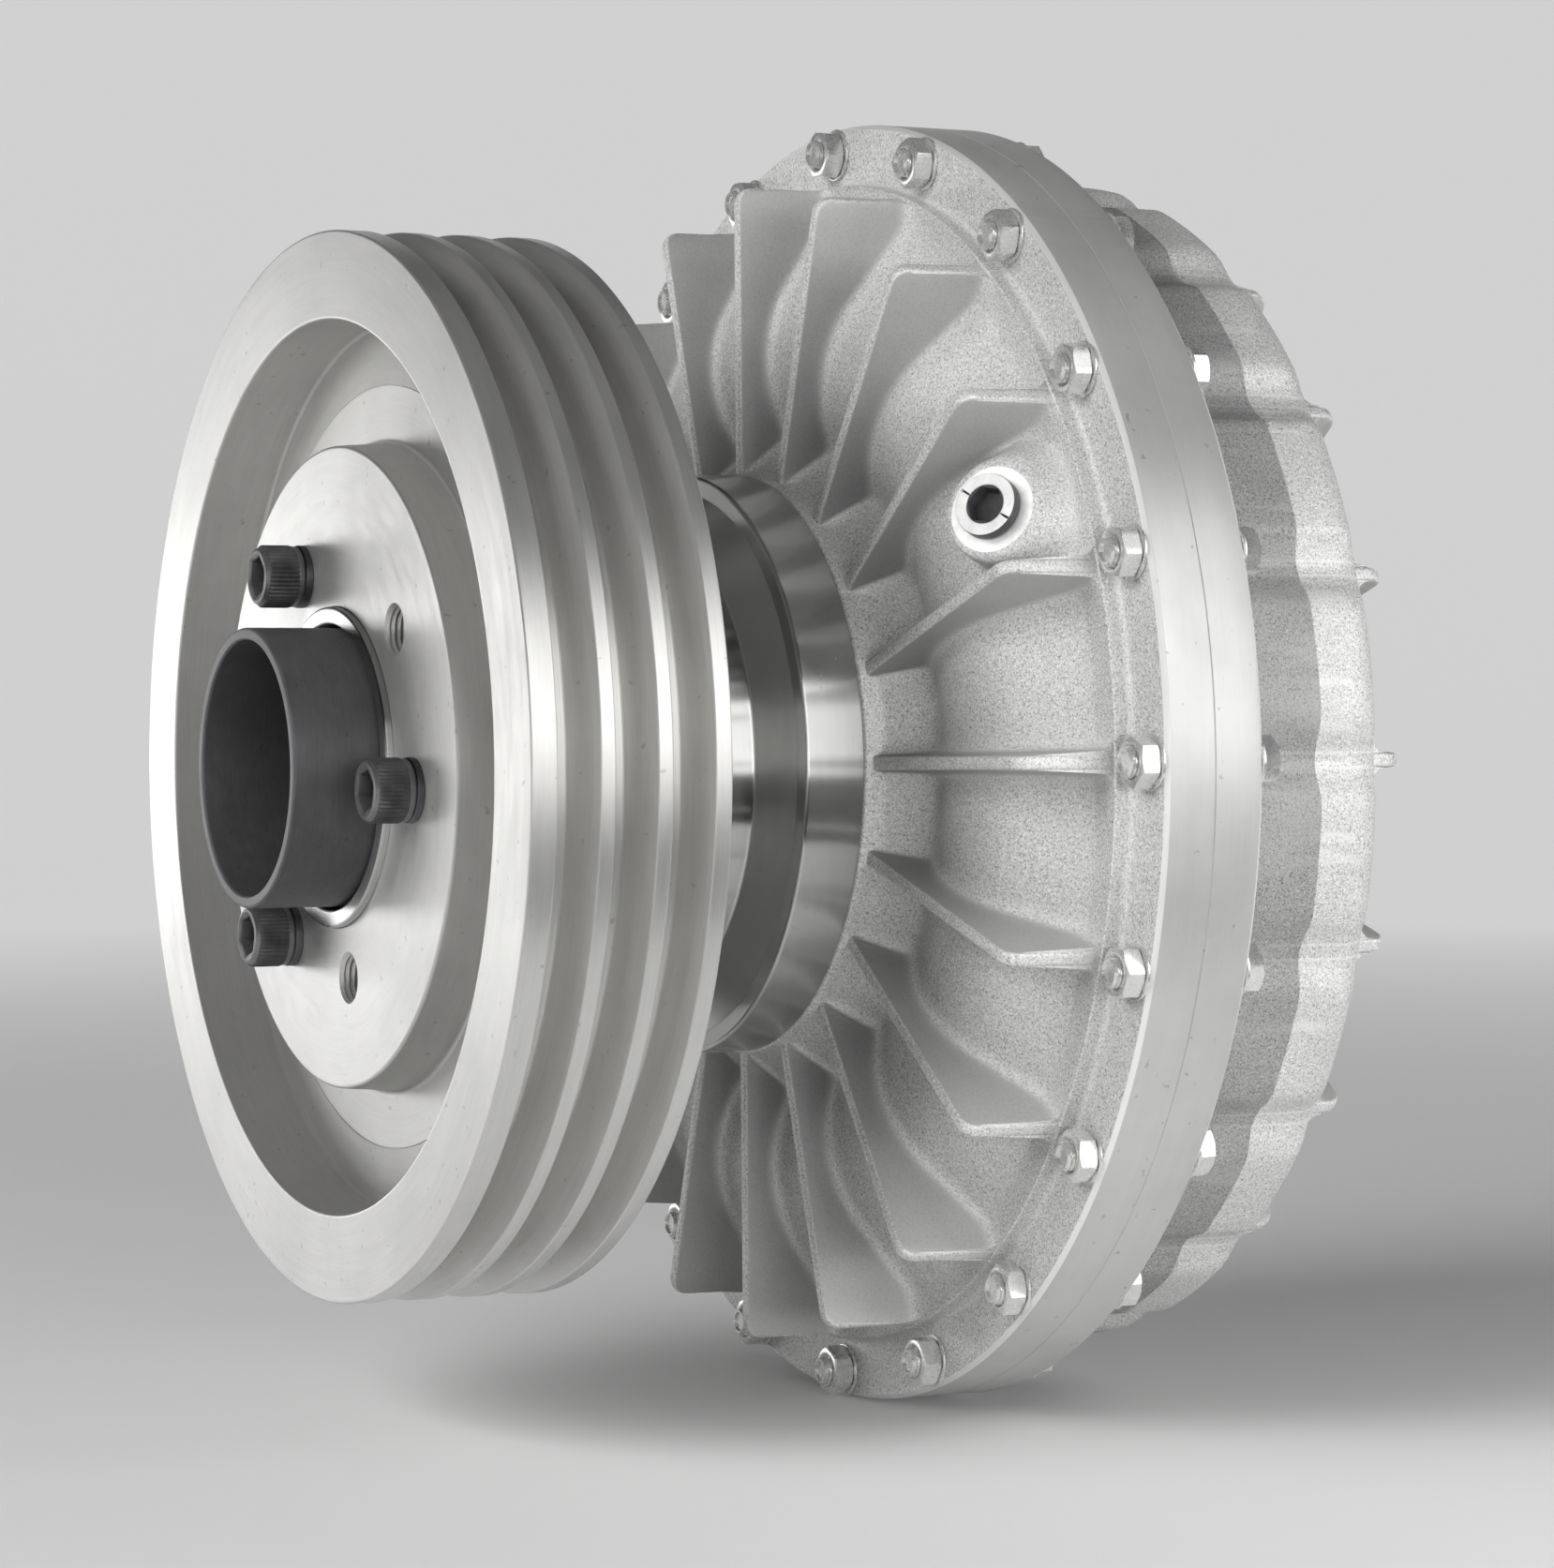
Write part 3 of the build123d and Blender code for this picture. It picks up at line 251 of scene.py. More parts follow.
def standing(point, axis, spin=0.0):
    """The place whose local +Z is axis at a point, spun about that axis."""
    rotation = Vector(axis).to_track_quat("Z", "Y").to_matrix().to_4x4()
    return Matrix.Translation(Vector(point)) @ rotation @ Matrix.Rotation(spin, 4, "Z")


def ring_of(form, radius, level, turns, way=FRONTWARD, spins=None):
    """Copies of a form that stand on a circle round the shaft axis, each with its own spin."""
    made = []
    for turn, spin in zip(turns, np.zeros(len(turns)) if spins is None else spins):
        point = (radius * math.cos(turn), level, radius * math.sin(turn))
        made.append(placed(form, standing(point, way, spin)))
    return joined(made)


def outline(corners, steps=5):
    """A profile through (radius, level) corners. A third value rounds that corner."""
    hold = 0.3
    points = []
    for index, corner in enumerate(corners):
        here = np.array(corner[:2], float)
        bend = corner[2] if len(corner) > 2 else 0.0
        if bend == 0.0:
            points.append(here)
            continue
        before = np.array(corners[index - 1][:2], float) - here
        after = np.array(corners[(index + 1) % len(corners)][:2], float) - here
        shorter = min(np.linalg.norm(before), np.linalg.norm(after))
        before /= np.linalg.norm(before)
        after /= np.linalg.norm(after)
        half = math.acos(np.clip(before @ after, -1.0, 1.0)) / 2
        bend = min(bend, 0.42 * shorter * math.tan(half))
        reach = bend / math.tan(half)
        middle = (before + after) / np.linalg.norm(before + after)
        centre = here + middle * bend / math.sin(half)
        start = here + before * reach - centre
        end = here + after * reach - centre
        swing = math.pi - 2 * half
        points.append(centre + start + before * hold * bend)
        for share in np.arange(steps + 1) / steps:
            bent = math.sin((1 - share) * swing) * start + math.sin(share * swing) * end
            points.append(centre + bent / math.sin(swing))
        points.append(centre + end + after * hold * bend)
    return np.array(points)


def turned(corners, segments):
    """A closed solid of revolution round the shaft axis."""
    profile = outline(corners)
    angles = np.linspace(0, FULL_TURN, segments, endpoint=False)[None, :]
    return grid(around(profile[:, :1], profile[:, 1:], angles), loop_rows=True)


def stacked(rows, columns=48, loop_rows=False, finish=0):
    """A solid round a local +Z axis from rows of (radius, height). Either may be a function of the angle."""
    angles = np.linspace(0, FULL_TURN, columns, endpoint=False)
    read = [[value(angles) if callable(value) else np.full(columns, value) for value in row] for row in rows]
    radii, heights = np.array(read).transpose(1, 0, 2)
    return grid(upright(radii, heights, angles[None, :]), loop_rows, not loop_rows, finish)


def hexagon(flats, soften=0.985):
    """The radius of a hexagon as a function of the angle, with slightly broken corners."""
    inner = flats / 2
    corner = inner / math.cos(math.pi / 6) * soften
    return lambda angle: np.minimum(inner / np.cos(np.mod(angle, math.pi / 3) - math.pi / 6), corner)


def signed_volume(mesh):
    """Six times the volume inside a mesh, negative where its faces point inward."""
    mesh.calc_loop_triangles()
    corners = np.empty(len(mesh.loop_triangles) * 3, np.int32)
    mesh.loop_triangles.foreach_get("vertices", corners)
    points = np.empty(len(mesh.vertices) * 3, np.float32)
    mesh.vertices.foreach_get("co", points)
    first, second, third = points.reshape(-1, 3)[corners.reshape(-1, 3)].transpose(1, 0, 2)
    return float(np.einsum("ij,ij->", first, np.cross(second, third)))


def mesh_of(name, form):
    """A mesh in metres from a form, with its faces pointing outward."""
    mesh = bpy.data.meshes.new(name)
    mesh.vertices.add(len(form.points))
    mesh.vertices.foreach_set("co", (form.points * MM).astype(np.float32).ravel())
    mesh.loops.add(len(form.loops))
    mesh.loops.foreach_set("vertex_index", form.loops.astype(np.int32))
    mesh.polygons.add(len(form.totals))
    starts = np.concatenate(([0], np.cumsum(form.totals)[:-1]))
    mesh.polygons.foreach_set("loop_start", starts.astype(np.int32))
    mesh.polygons.foreach_set("material_index", form.finish.astype(np.int32))
    mesh.update(calc_edges=True)
    mesh.validate()
    if signed_volume(mesh) < 0:
        mesh.flip_normals()
    return mesh


def linked(name, data):
    """A new object in the scene."""
    made = bpy.data.objects.new(name, data)
    bpy.context.scene.collection.objects.link(made)
    return made


def bored(name, form, cutter):
    """The form's mesh with the cutter's volume taken away."""
    body = linked(name, mesh_of(name, form))
    tool = linked(f"{name}_cutter", mesh_of(f"{name}_cutter", cutter))
    cut = body.modifiers.new("holes", "BOOLEAN")
    cut.operation = "DIFFERENCE"
    cut.solver = "EXACT"
    cut.object = tool
    bpy.context.view_layer.update()
    result = bpy.data.meshes.new_from_object(body.evaluated_get(bpy.context.evaluated_depsgraph_get()))
    for thing in (body, tool):
        bpy.data.objects.remove(thing)
    return result


def piece(name, shape, paints, node_name, smooth=32.0, body="housing"):
    """A finished piece from a form or a bored mesh. It rides on a body and stands for a CAD node."""
    mesh = shape if isinstance(shape, bpy.types.Mesh) else mesh_of(name, shape)
    mesh.name = name
    for paint in paints.split():
        mesh.materials.append(FINISHES[paint])
    mesh.shade_smooth()
    mesh.set_sharp_from_angle(angle=math.radians(smooth))
    made = linked(name, mesh)
    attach(made, body)
    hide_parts(node_name)


# Shader building
class Signal:
    """An output of a shader node. Arithmetic on it adds Math nodes to its tree."""

    def __init__(self, socket):
        self.socket = socket

    def maths(self, operation, *values):
        """The result of a Math node over this signal and other signals or values."""
        return signal(self.socket.id_data, "Math", dict(enumerate((self, *values))), operation=operation)

    def __add__(self, other):
        return self.maths("ADD", other)

    def __sub__(self, other):
        return self.maths("SUBTRACT", other)

    def __mul__(self, other):
        return self.maths("MULTIPLY", other)

    def __truediv__(self, other):
        return self.maths("DIVIDE", other)

    def __rtruediv__(self, other):
        return signal(self.socket.id_data, "Math", {0: other, 1: self}, operation="DIVIDE")


def feed(socket, value):
    """Links a signal to an input, or sets the input's own value."""
    if isinstance(value, Signal):
        socket.id_data.links.new(value.socket, socket)
    else:
        socket.default_value = value


def node(tree, kind, inputs=None, **settings):
    """A shader node with its settings, and inputs that are values or signals."""
    made = tree.nodes.new("ShaderNode" + kind)
    for key, value in settings.items():
        setattr(made, key, value)
    for key, value in (inputs or {}).items():
        feed(made.inputs[key], value)
    return made


def signal(tree, kind, inputs=None, output=0, **settings):
    """One output of a new shader node."""
    return Signal(node(tree, kind, inputs, **settings).outputs[output])


def signals(outputs):
    """A node's outputs by name."""
    return {socket.name: Signal(socket) for socket in outputs}


def found(tree, kind):
    """The tree's first node of a kind."""
    return next(entry for entry in tree.nodes if entry.type == kind)


def ramp(value, *stops):
    """The colour of a Color Ramp over (position, grey) stops."""
    made = node(value.socket.id_data, "ValToRGB", {"Fac": value})
    elements = made.color_ramp.elements
    while len(elements) < len(stops):
        elements.new(0.5)
    for element, (position, grey) in zip(elements, stops):
        element.position = position
        element.color = (grey, grey, grey, 1.0)
    return Signal(made.outputs["Color"])


def blended(kind, share, first, second):
    """The colour of a Mix node in a blend mode. One of the colours is a signal."""
    tree = (second if isinstance(second, Signal) else first).socket.id_data
    return signal(tree, "Mix", {0: share, 6: first, 7: second}, 2, data_type="RGBA", blend_type=kind)


def times(first, second):
    """Two colours multiplied."""
    return blended("MULTIPLY", 1.0, first, second)


def spread(value, low, high, **targets):
    """A signal read over a range of its values, from 0 to 1 unless targets says otherwise."""
    inputs = {"Value": value, "From Min": low, "From Max": high, **targets}
    return signal(value.socket.id_data, "MapRange", inputs)


def texture_place(tree, kind="Object"):
    """The surface's place in object coordinates, or its normal."""
    return signal(tree, "TexCoord", output=kind)


def axes(vector):
    """The three parts of a vector."""
    return [Signal(part) for part in node(vector.socket.id_data, "SeparateXYZ", {0: vector}).outputs]


def noise(tree, scale, detail=2.0, rough=0.5, **inputs):
    """The value of a Noise Texture on object coordinates. Inputs with a W make it four-dimensional."""
    inputs = {"Vector": texture_place(tree), **inputs} if "Vector" not in inputs else inputs
    inputs.update(Scale=scale, Detail=detail, Roughness=rough)
    return signal(tree, "TexNoise", inputs, noise_dimensions="4D" if "W" in inputs else "3D")


def effect(name, inputs, outputs):
    """An empty shader node group with named float inputs and outputs."""
    tree = bpy.data.node_groups.new(name, "ShaderNodeTree")
    for label, value in inputs.items():
        tree.interface.new_socket(label, in_out="INPUT", socket_type="NodeSocketFloat").default_value = value
    for label in outputs:
        tree.interface.new_socket(label, in_out="OUTPUT", socket_type="NodeSocketFloat")
    return tree, signals(tree.nodes.new("NodeGroupInput").outputs), tree.nodes.new("NodeGroupOutput").inputs


def use(tree, name, **values):
    """The outputs of a shared effect placed in a material."""
    made = tree.nodes.new("ShaderNodeGroup")
    made.node_tree = bpy.data.node_groups[name]
    for label, value in values.items():
        made.inputs[label].default_value = value
    return signals(made.outputs)


def sand_grain():
    """Sand casting: fine specks, wider lumps and soft mottling."""
    inputs = {"Size": 1.0, "Contrast": 1.0}
    tree, given, wanted = effect("sand_grain", inputs, ["Tone", "Height", "Mottle"])
    kinds = ((2200.0, 1.0, 0.6), (1100.0, 2.0, 0.6), (120.0, 3.0, 0.5), (28.0, 3.0, 0.55))
    fine, speck, lump, mottle = (noise(tree, scale / given["Size"], *kind) for scale, *kind in kinds)
    mixed = fine * 0.45 + speck * 0.55
    feed(wanted["Tone"], (mixed - 0.5) * given["Contrast"] + 0.5)
    feed(wanted["Height"], mixed + lump * 1.1)
    feed(wanted["Mottle"], mottle)


def turning_marks():
    """Lathe marks: fine rings round the shaft axis, broken softly along their length."""
    inputs = {"Rings": 1500.0, "Breaks": 6.0}
    tree, given, wanted = effect("turning_marks", inputs, ["Tone", "Height", "Band"])
    x, y, z = axes(texture_place(tree))
    span = (x * x + z * z).maths("SQRT")
    safe = span.maths("MAXIMUM", 0.001)
    east = x / safe * given["Breaks"]
    north = z / safe * given["Breaks"]
    across, along = span + y, y - span * 0.3
    rings = given["Rings"]
    fine = signal(tree, "CombineXYZ", {0: across * rings, 1: along * rings, 2: east})
    thin = noise(tree, 1.0, 2.0, 0.6, Vector=fine, W=north)
    wider = rings * 0.16
    coarse = signal(tree, "CombineXYZ", {0: across * wider, 1: along * wider, 2: east})
    wide = noise(tree, 1.0, 2.0, 0.5, Vector=coarse, W=north)
    feed(wanted["Height"], thin)
    feed(wanted["Tone"], thin * 0.5 + wide * 0.5)
    feed(wanted["Band"], wide)


def handling():
    """Handling: soft stains, smudges and small dark specks."""
    tree, given, wanted = effect("handling", {"Size": 1.0}, ["Stain", "Speck"])
    feed(wanted["Stain"], ramp(noise(tree, 16.0 / given["Size"], 4.0, 0.6), (0.42, 0.0), (0.72, 1.0)))
    feed(wanted["Speck"], ramp(noise(tree, 260.0 / given["Size"]), (0.70, 0.0), (0.76, 1.0)))


def fin_sides():
    """Marks surfaces that face round the shaft axis, and how far out they lie; the cast finish paints shade
    on fin sides with them.
    """
    tree, given, wanted = effect("fin_sides", {"Inner": 0.10, "Outer": 0.19}, ["Side", "Far"])
    x, _, z = axes(texture_place(tree))
    east, _, north = axes(texture_place(tree, "Normal"))
    flat = signal(tree, "CombineXYZ", {0: x, 1: z})
    span = signal(tree, "VectorMath", {0: flat}, "Value", operation="LENGTH").maths("MAXIMUM", 0.001)
    sideways = ((north * x - east * z) / span).maths("ABSOLUTE")
    feed(wanted["Side"], spread(sideways, 0.72, 0.95))
    feed(wanted["Far"], spread(span, given["Inner"], given["Outer"]))


def edge_wear_and_hollow_highlight():
    """Worn edges, and hollows that get a painted highlight, from how sharp the surface is."""
    tree, given, wanted = effect("edge_wear_and_hollow_highlight", {"Reach": 0.06}, ["Edge", "Hollow"])
    over = (signal(tree, "NewGeometry", output="Pointiness") - 0.5) / given["Reach"]
    for label, sign, start in (("Edge", 1.0, 0.75), ("Hollow", -1.0, 0.0)):
        feed(wanted[label], signal(tree, "Clamp", {"Value": over * sign - start}))


def new_material(name):
    """A new material, its node tree and its Principled shader."""
    material = bpy.data.materials.new(name)
    material.use_nodes = True
    return material, material.node_tree, found(material.node_tree, "BSDF_PRINCIPLED")


def painted(material, base, tone, gloss, metallic, bump, **others):
    """The material with its shader's inputs set. bump is a height, its strength and its millimetres."""
    tree = material.node_tree
    height, strength, distance = bump
    normal = signal(tree, "Bump", {"Height": height, "Strength": strength, "Distance": distance * MM})
    inputs = {"Base Color": tone, "Roughness": gloss, "Metallic": metallic, "Normal": normal, **others}
    for label, value in inputs.items():
        feed(found(tree, "BSDF_PRINCIPLED").inputs[label], value)
    material.diffuse_color = base
    return material


def turned_metal(
    name, base, rough, marks, depth, tone_share, stretch, rings=1500.0, stain=0.25, metallic=1.0
):
    """A turned metal: circular marks stretch its highlights across them."""
    base = (*base[:3], 1.0)
    material, tree, _ = new_material(name)
    lathe = use(tree, "turning_marks", Rings=rings)
    dirt = use(tree, "handling", Size=1.0)
    smudge = use(tree, "handling", Size=1.3)
    tone = times(base, ramp(lathe["Tone"], (0.30, 1.0 - tone_share), (0.70, 1.0 + tone_share * 0.4)))
    tone = times(tone, ramp(dirt["Stain"], (0.0, 1.0), (1.0, 1.0 - stain * 0.4)))
    tone = times(tone, ramp(dirt["Speck"], (0.0, 1.0), (1.0, 1.0 - stain)))
    gloss = (lathe["Band"] - 0.5) * marks + smudge["Stain"] * (stain * 0.25) + rough
    lathe_way = signal(tree, "Tangent", direction_type="RADIAL", axis="Y")
    others = {"Anisotropic": stretch, "Anisotropic Rotation": 0.25, "Tangent": lathe_way}
    return painted(material, base, tone, gloss, metallic, (lathe["Height"], depth, 0.02), **others)


def cast_metal(name, base, grain=1.0, contrast=1.0, depth=0.6):
    """Sand cast aluminium: speckled, matt, brighter on worn edges, with painted highlights in hollows and
    painted shade on fin sides.
    """
    base = (*base[:3], 1.0)
    material, tree, _ = new_material(name)
    sand = use(tree, "sand_grain", Size=grain, Contrast=contrast)
    wear_and_highlight = use(tree, "edge_wear_and_hollow_highlight", Reach=0.05)
    fins = use(tree, "fin_sides")
    speckle = ramp(sand["Tone"], (0.34, 0.42), (0.46, 0.90), (0.58, 1.02), (0.68, 1.30))
    # On fin sides the grain is evened out, and a grey mix and a ramp that darkens towards the hub paint shade
    # on them.
    smoothed = blended("MIX", fins["Side"] * 0.75, speckle, (0.92, 0.92, 0.92, 1.0))
    tone = times(times(base, smoothed), ramp(sand["Mottle"], (0.3, 0.92), (0.7, 1.05)))
    tone = blended("MULTIPLY", fins["Side"], tone, ramp(fins["Far"], (0.0, 0.45), (1.0, 0.74)))
    # Worn edges, and hollows such as the fin root fillets as a painted highlight, mix towards a pale grey.
    worn_and_highlit = (wear_and_highlight["Edge"] + wear_and_highlight["Hollow"] * 0.8).maths("MINIMUM", 1.0)
    tone = blended("MIX", worn_and_highlit * ((sand["Tone"] + 0.3) * 0.62), tone, (0.84, 0.84, 0.83, 1.0))
    return painted(material, base, tone, sand["Tone"] * 0.2 + 0.45, 0.35, (sand["Height"], depth, 0.25))


def plain_metal(name, base, rough, metallic=1.0, scale=900.0, share=0.12, depth=0.15):
    """A small part's metal: slight cloud, fine grain and handling marks."""
    base = (*base[:3], 1.0)
    material, tree, _ = new_material(name)
    dirt = use(tree, "handling", Size=0.3)
    tone = times(base, ramp(noise(tree, scale * 0.25, 3.0, 0.6), (0.3, 1.0 - share), (0.7, 1.0 + share)))
    tone = times(tone, ramp(dirt["Stain"], (0.0, 1.0), (1.0, 1.0 - share)))
    gloss = (noise(tree, scale * 0.5) - 0.5) * 0.2 + rough
    return painted(material, base, tone, gloss, metallic, (noise(tree, scale, 2.0, 0.6), depth, 0.05))


FINISHES = {}

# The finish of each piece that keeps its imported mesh
KEPT = {
    "rubber": "joint_seal spool_seal front_oil_seal rear_oil_seal",
    "wheel": "inner_wheel",
    "black": "wheel_screws spool_screws",
    "steel": "spacer_sleeve",
    "bearing": "front_outer_ring front_inner_ring front_rollers rear_outer_ring rear_inner_ring rear_balls",
    "brass": "front_cage rear_cage",
    "spring": "shaft_clip_front shaft_clip_rear spool_clip",
    "ring": "filler_plug_seals fusible_plug_seals",
}


class COUPLING_OT_finishes(bpy.types.Operator):
    """Make the shared effects and every finish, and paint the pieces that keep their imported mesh"""

    bl_idname = "coupling.finishes"
    bl_label = "Make finishes"

    def execute(self, context):
        paint = context.scene.coupling_finish
        for build in (sand_grain, turning_marks, handling, edge_wear_and_hollow_highlight, fin_sides):
            build()
        lathe = partial(turned_metal, metallic=0.5)
        FINISHES.update(
            cast=cast_metal("cast_aluminium_skin", paint.cast),
            rim=lathe("machined_rim", paint.machined, 0.40, 0.10, 0.08, 0.05, 0.6, stain=0.35),
            chamfer=lathe("bright_chamfer", (0.88, 0.88, 0.87), 0.35, 0.05, 0.05, 0.04, 0.3),
            spot_face=plain_metal("spot_face", (0.90, 0.90, 0.89), 0.45, 0.1),
            iron=lathe("turned_iron_pulley", paint.iron, 0.40, 0.16, 0.22, 0.10, 0.60, metallic=0.85),
            steel=turned_metal("turned_steel_neck", paint.steel, 0.24, 0.06, 0.04, 0.05, 1.0, stain=0.12),
            tube=lathe("dark_steel_tube", paint.tube, 0.46, 0.12, 0.10, 0.25, 0.4, 900.0, metallic=0.4),
            black=plain_metal("black_oxide_screw", paint.black, 0.42, 0.3, share=0.25, depth=0.3),
            black_edge=plain_metal("worn_screw_edge", (0.24, 0.24, 0.25), 0.35, 0.8),
            zinc=plain_metal("bright_zinc", paint.zinc, 0.27, 0.75, share=0.05, depth=0.03),
            plug_face=plain_metal("plug_face", (0.78, 0.78, 0.77), 0.40, 0.3),
            bearing=plain_metal("ground_bearing_steel", (0.70, 0.70, 0.72), 0.16),
            brass=plain_metal("cage_brass_machined", (0.72, 0.56, 0.26), 0.34),
            spring=plain_metal("spring_steel_dark", (0.16, 0.16, 0.17), 0.40),
            ring=plain_metal("annealed_ring", (0.62, 0.62, 0.62), 0.38),
            rubber=plain_metal("seal_rubber_moulded", (0.035, 0.035, 0.036), 0.62, 0.0, 500.0, 0.2, 0.4),
            wheel=cast_metal("wheel_aluminium_cast", (0.56, 0.56, 0.56), 0.8, 0.8, 0.4),
        )
        for finish, names in KEPT.items():
            for name in names.split():
                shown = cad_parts[name].data
                shown.materials.clear()
                shown.materials.append(FINISHES[finish])
        return {"FINISHED"}


# Cast shells
def half_sector(radii, base, fin, sizes, plain):
    """Lateral offsets and heights of the grid lines from a fin's middle to the middle of the bay.

    radii and base are the row's radius and height; fin gives the fin's top height and its slope there.
    """
    top, lean = fin(radii)
    edge, root = sizes.fin_edge, sizes.fin_root
    half = sizes.fin_thickness / 2
    rise = np.clip(top - base, 0.0, None)
    share = np.clip(rise / (edge + root), 0.0, 1.0)
    foot = half + rise * math.tan(math.radians(2.5))
    columns = []
    rounding = [(half - edge + edge * math.sin(turn), turn) for turn in np.radians([30.0, 60.0, 90.0])]
    for offset, turn in [(0.0, 0.0), (half - edge, 0.0)] + rounding:
        drop = edge * (1 - math.cos(turn)) * share
        height = np.where(rise > 0, np.maximum(base, top - drop), base)
        columns.append((np.full_like(radii, offset), height, drop * lean))
    for turn in np.radians([0.0, 22.0, 45.0, 68.0, 90.0]):
        height = np.minimum(base + root * (1 - math.sin(turn)) * share, top - edge * share)
        height = np.maximum(base, np.where(rise > 0, height, base))
        columns.append((foot + root * (1 - math.cos(turn)), height, 0 * base))
    first, bay = foot + root, radii * PITCH / 2
    for step in range(1, plain + 1):
        columns.append((first + (bay - first) * step / plain, base, 0 * base))
    return (np.stack([column[k] for column in columns], axis=1) for k in range(3))


def seat_place(seat, turn, out):
    """The middle of a plug's tilted seat and the way it faces."""
    radius, height = seat
    outward = Vector((math.cos(turn), 0.0, math.sin(turn)))
    away = Vector((0.0, out, 0.0))
    return outward * radius + away * height, outward * math.sin(SEAT_TILT) + away * math.cos(SEAT_TILT)


def smooth_top(first, second, reach):
    """The larger of two heights, blended where they are close."""
    return np.maximum(first, second) + np.maximum(reach - np.abs(first - second), 0.0) ** 2 / (4 * reach)


def seat_heights(radii, swing, heights, seat, size, side):
    """Heights with a plug boss raised on them: a flat tilted seat whose sides melt into the shell."""
    seat_radius, seat_height = seat
    soft, melt, drilled = 0.8, 5.0, 4.0
    outward = radii * np.cos(swing) - seat_radius
    reach = np.hypot(outward / math.cos(SEAT_TILT), radii * np.sin(swing))
    plane = seat_height - outward * math.tan(SEAT_TILT)
    drop = side * soft * np.logaddexp(0.0, (reach - size) / soft)
    raised = smooth_top(plane - drop, heights, melt)
    return np.where(reach < PLUG_SHANK + 0.6, plane - drilled, raised)


def shell_grid(rows, out, fin, sizes, boss, flute=None):
    """The closed skin of a cast shell. rows is an array of radius, height, raised mark and finish."""
    radii, base, raised, finish = rows.T
    seat, size, _ = boss
    marked = raised[:, None] > 0
    parts = []
    for sector in range(SECTORS):
        bossed = sector % 10 == 1
        ghost = np.where(raised > 0, base, -NO_FIN)
        offsets, heights, shifts = half_sector(radii, ghost, fin, sizes, 22 if bossed else 7)
        span = np.broadcast_to(radii[:, None], offsets.shape) - np.where(marked, shifts, 0.0)
        heights = np.where(marked, heights, base[:, None])
        swings = offsets / radii[:, None]
        swings = np.concatenate((swings, PITCH - swings[:, 1:-1][:, ::-1]), axis=1)
        heights = np.concatenate((heights, heights[:, 1:-1][:, ::-1]), axis=1)
        span = np.concatenate((span, span[:, 1:-1][:, ::-1]), axis=1)
        if bossed:
            heights = np.where(marked, seat_heights(span, swings - PITCH / 2, heights, *boss), heights)
        if flute:
            span = flute(span, swings, marked)
        parts.append((span, out * heights, swings + sector * PITCH + TURN))
    points = around(*(np.concatenate(part, axis=1) for part in zip(*parts)))
    forms = [grid(points, loop_rows=True, finish=finish.astype(int))]
    pad = washer_form(size - 2.4, PLUG_SHANK, 6.05)
    pad.finish[:] = 3
    for turn in PLUG_TURNS:
        point, axis = seat_place(seat, turn, out)
        forms.append(placed(pad, standing(point - axis * 6.0, axis)))
    return joined(forms)


def rows_of(*parts):
    """Rows of radius, height, raised mark and finish from (profile, raised, finish) parts."""
    made = []
    for profile, *marks in parts:
        made.append(np.column_stack((profile, np.full((len(profile), 2), marks))))
    return np.concatenate(made)


def fin_top(radii, outer, corner, top, inner, nose):
    """A fin's top height at each radius, and how far its outline leans outward there."""
    over = np.clip(radii - (outer - corner), 0.0, corner)
    height = top - corner + np.sqrt(np.maximum(corner**2 - over**2, 0.0))
    under = np.clip(inner + nose - radii, 0.0, nose)
    height = height - nose + np.sqrt(np.maximum(nose**2 - under**2, 0.0))
    inside = (radii <= outer + 0.01) & (radii >= inner)
    return np.where(inside, height, NO_FIN), np.where(radii <= outer + 0.1, over / corner, 0.0)


front_fin = partial(fin_top, outer=198.0, corner=5.5, top=56.7, inner=97.0, nose=0.0)
rear_fin = partial(fin_top, outer=194.0, corner=6.0, top=86.0, inner=92.0, nose=3.0)


def arc_of(centre, radius, start, end, count):
    """Points of an arc; the angle is from the outward height direction towards larger radius, in degrees."""
    turns = np.radians(np.linspace(start, end, count))
    return np.stack((centre[0] + radius * np.sin(turns), centre[1] + radius * np.cos(turns)), axis=1)


def resampled(profile, radii):
    """A profile with rising radius, read again at chosen radii."""
    return np.stack((radii, np.interp(radii, profile[:, 0], profile[:, 1])), axis=1)


def flange_rows(sizes):
    """The flange's front face, chamfer, rim, joint break and joint face, as heights from the joint plane."""
    rim, depth, cut, gap = sizes.flange_radius, sizes.flange_depth, sizes.edge_chamfer, sizes.joint_break
    face = [(rim - cut - 0.3, depth)]
    chamfer = [(rim - cut, depth)]
    side = [(rim - 0.1, depth - cut + 0.1), (rim, depth - cut - 0.2), (rim, depth / 2)]
    side += [(rim, gap + 0.2), (rim, gap), (rim - gap, 0.0), (rim - 4 * gap, 0.0)]
    return (face, 0, 0), (chamfer, 0, 2), (side, 0, 1)


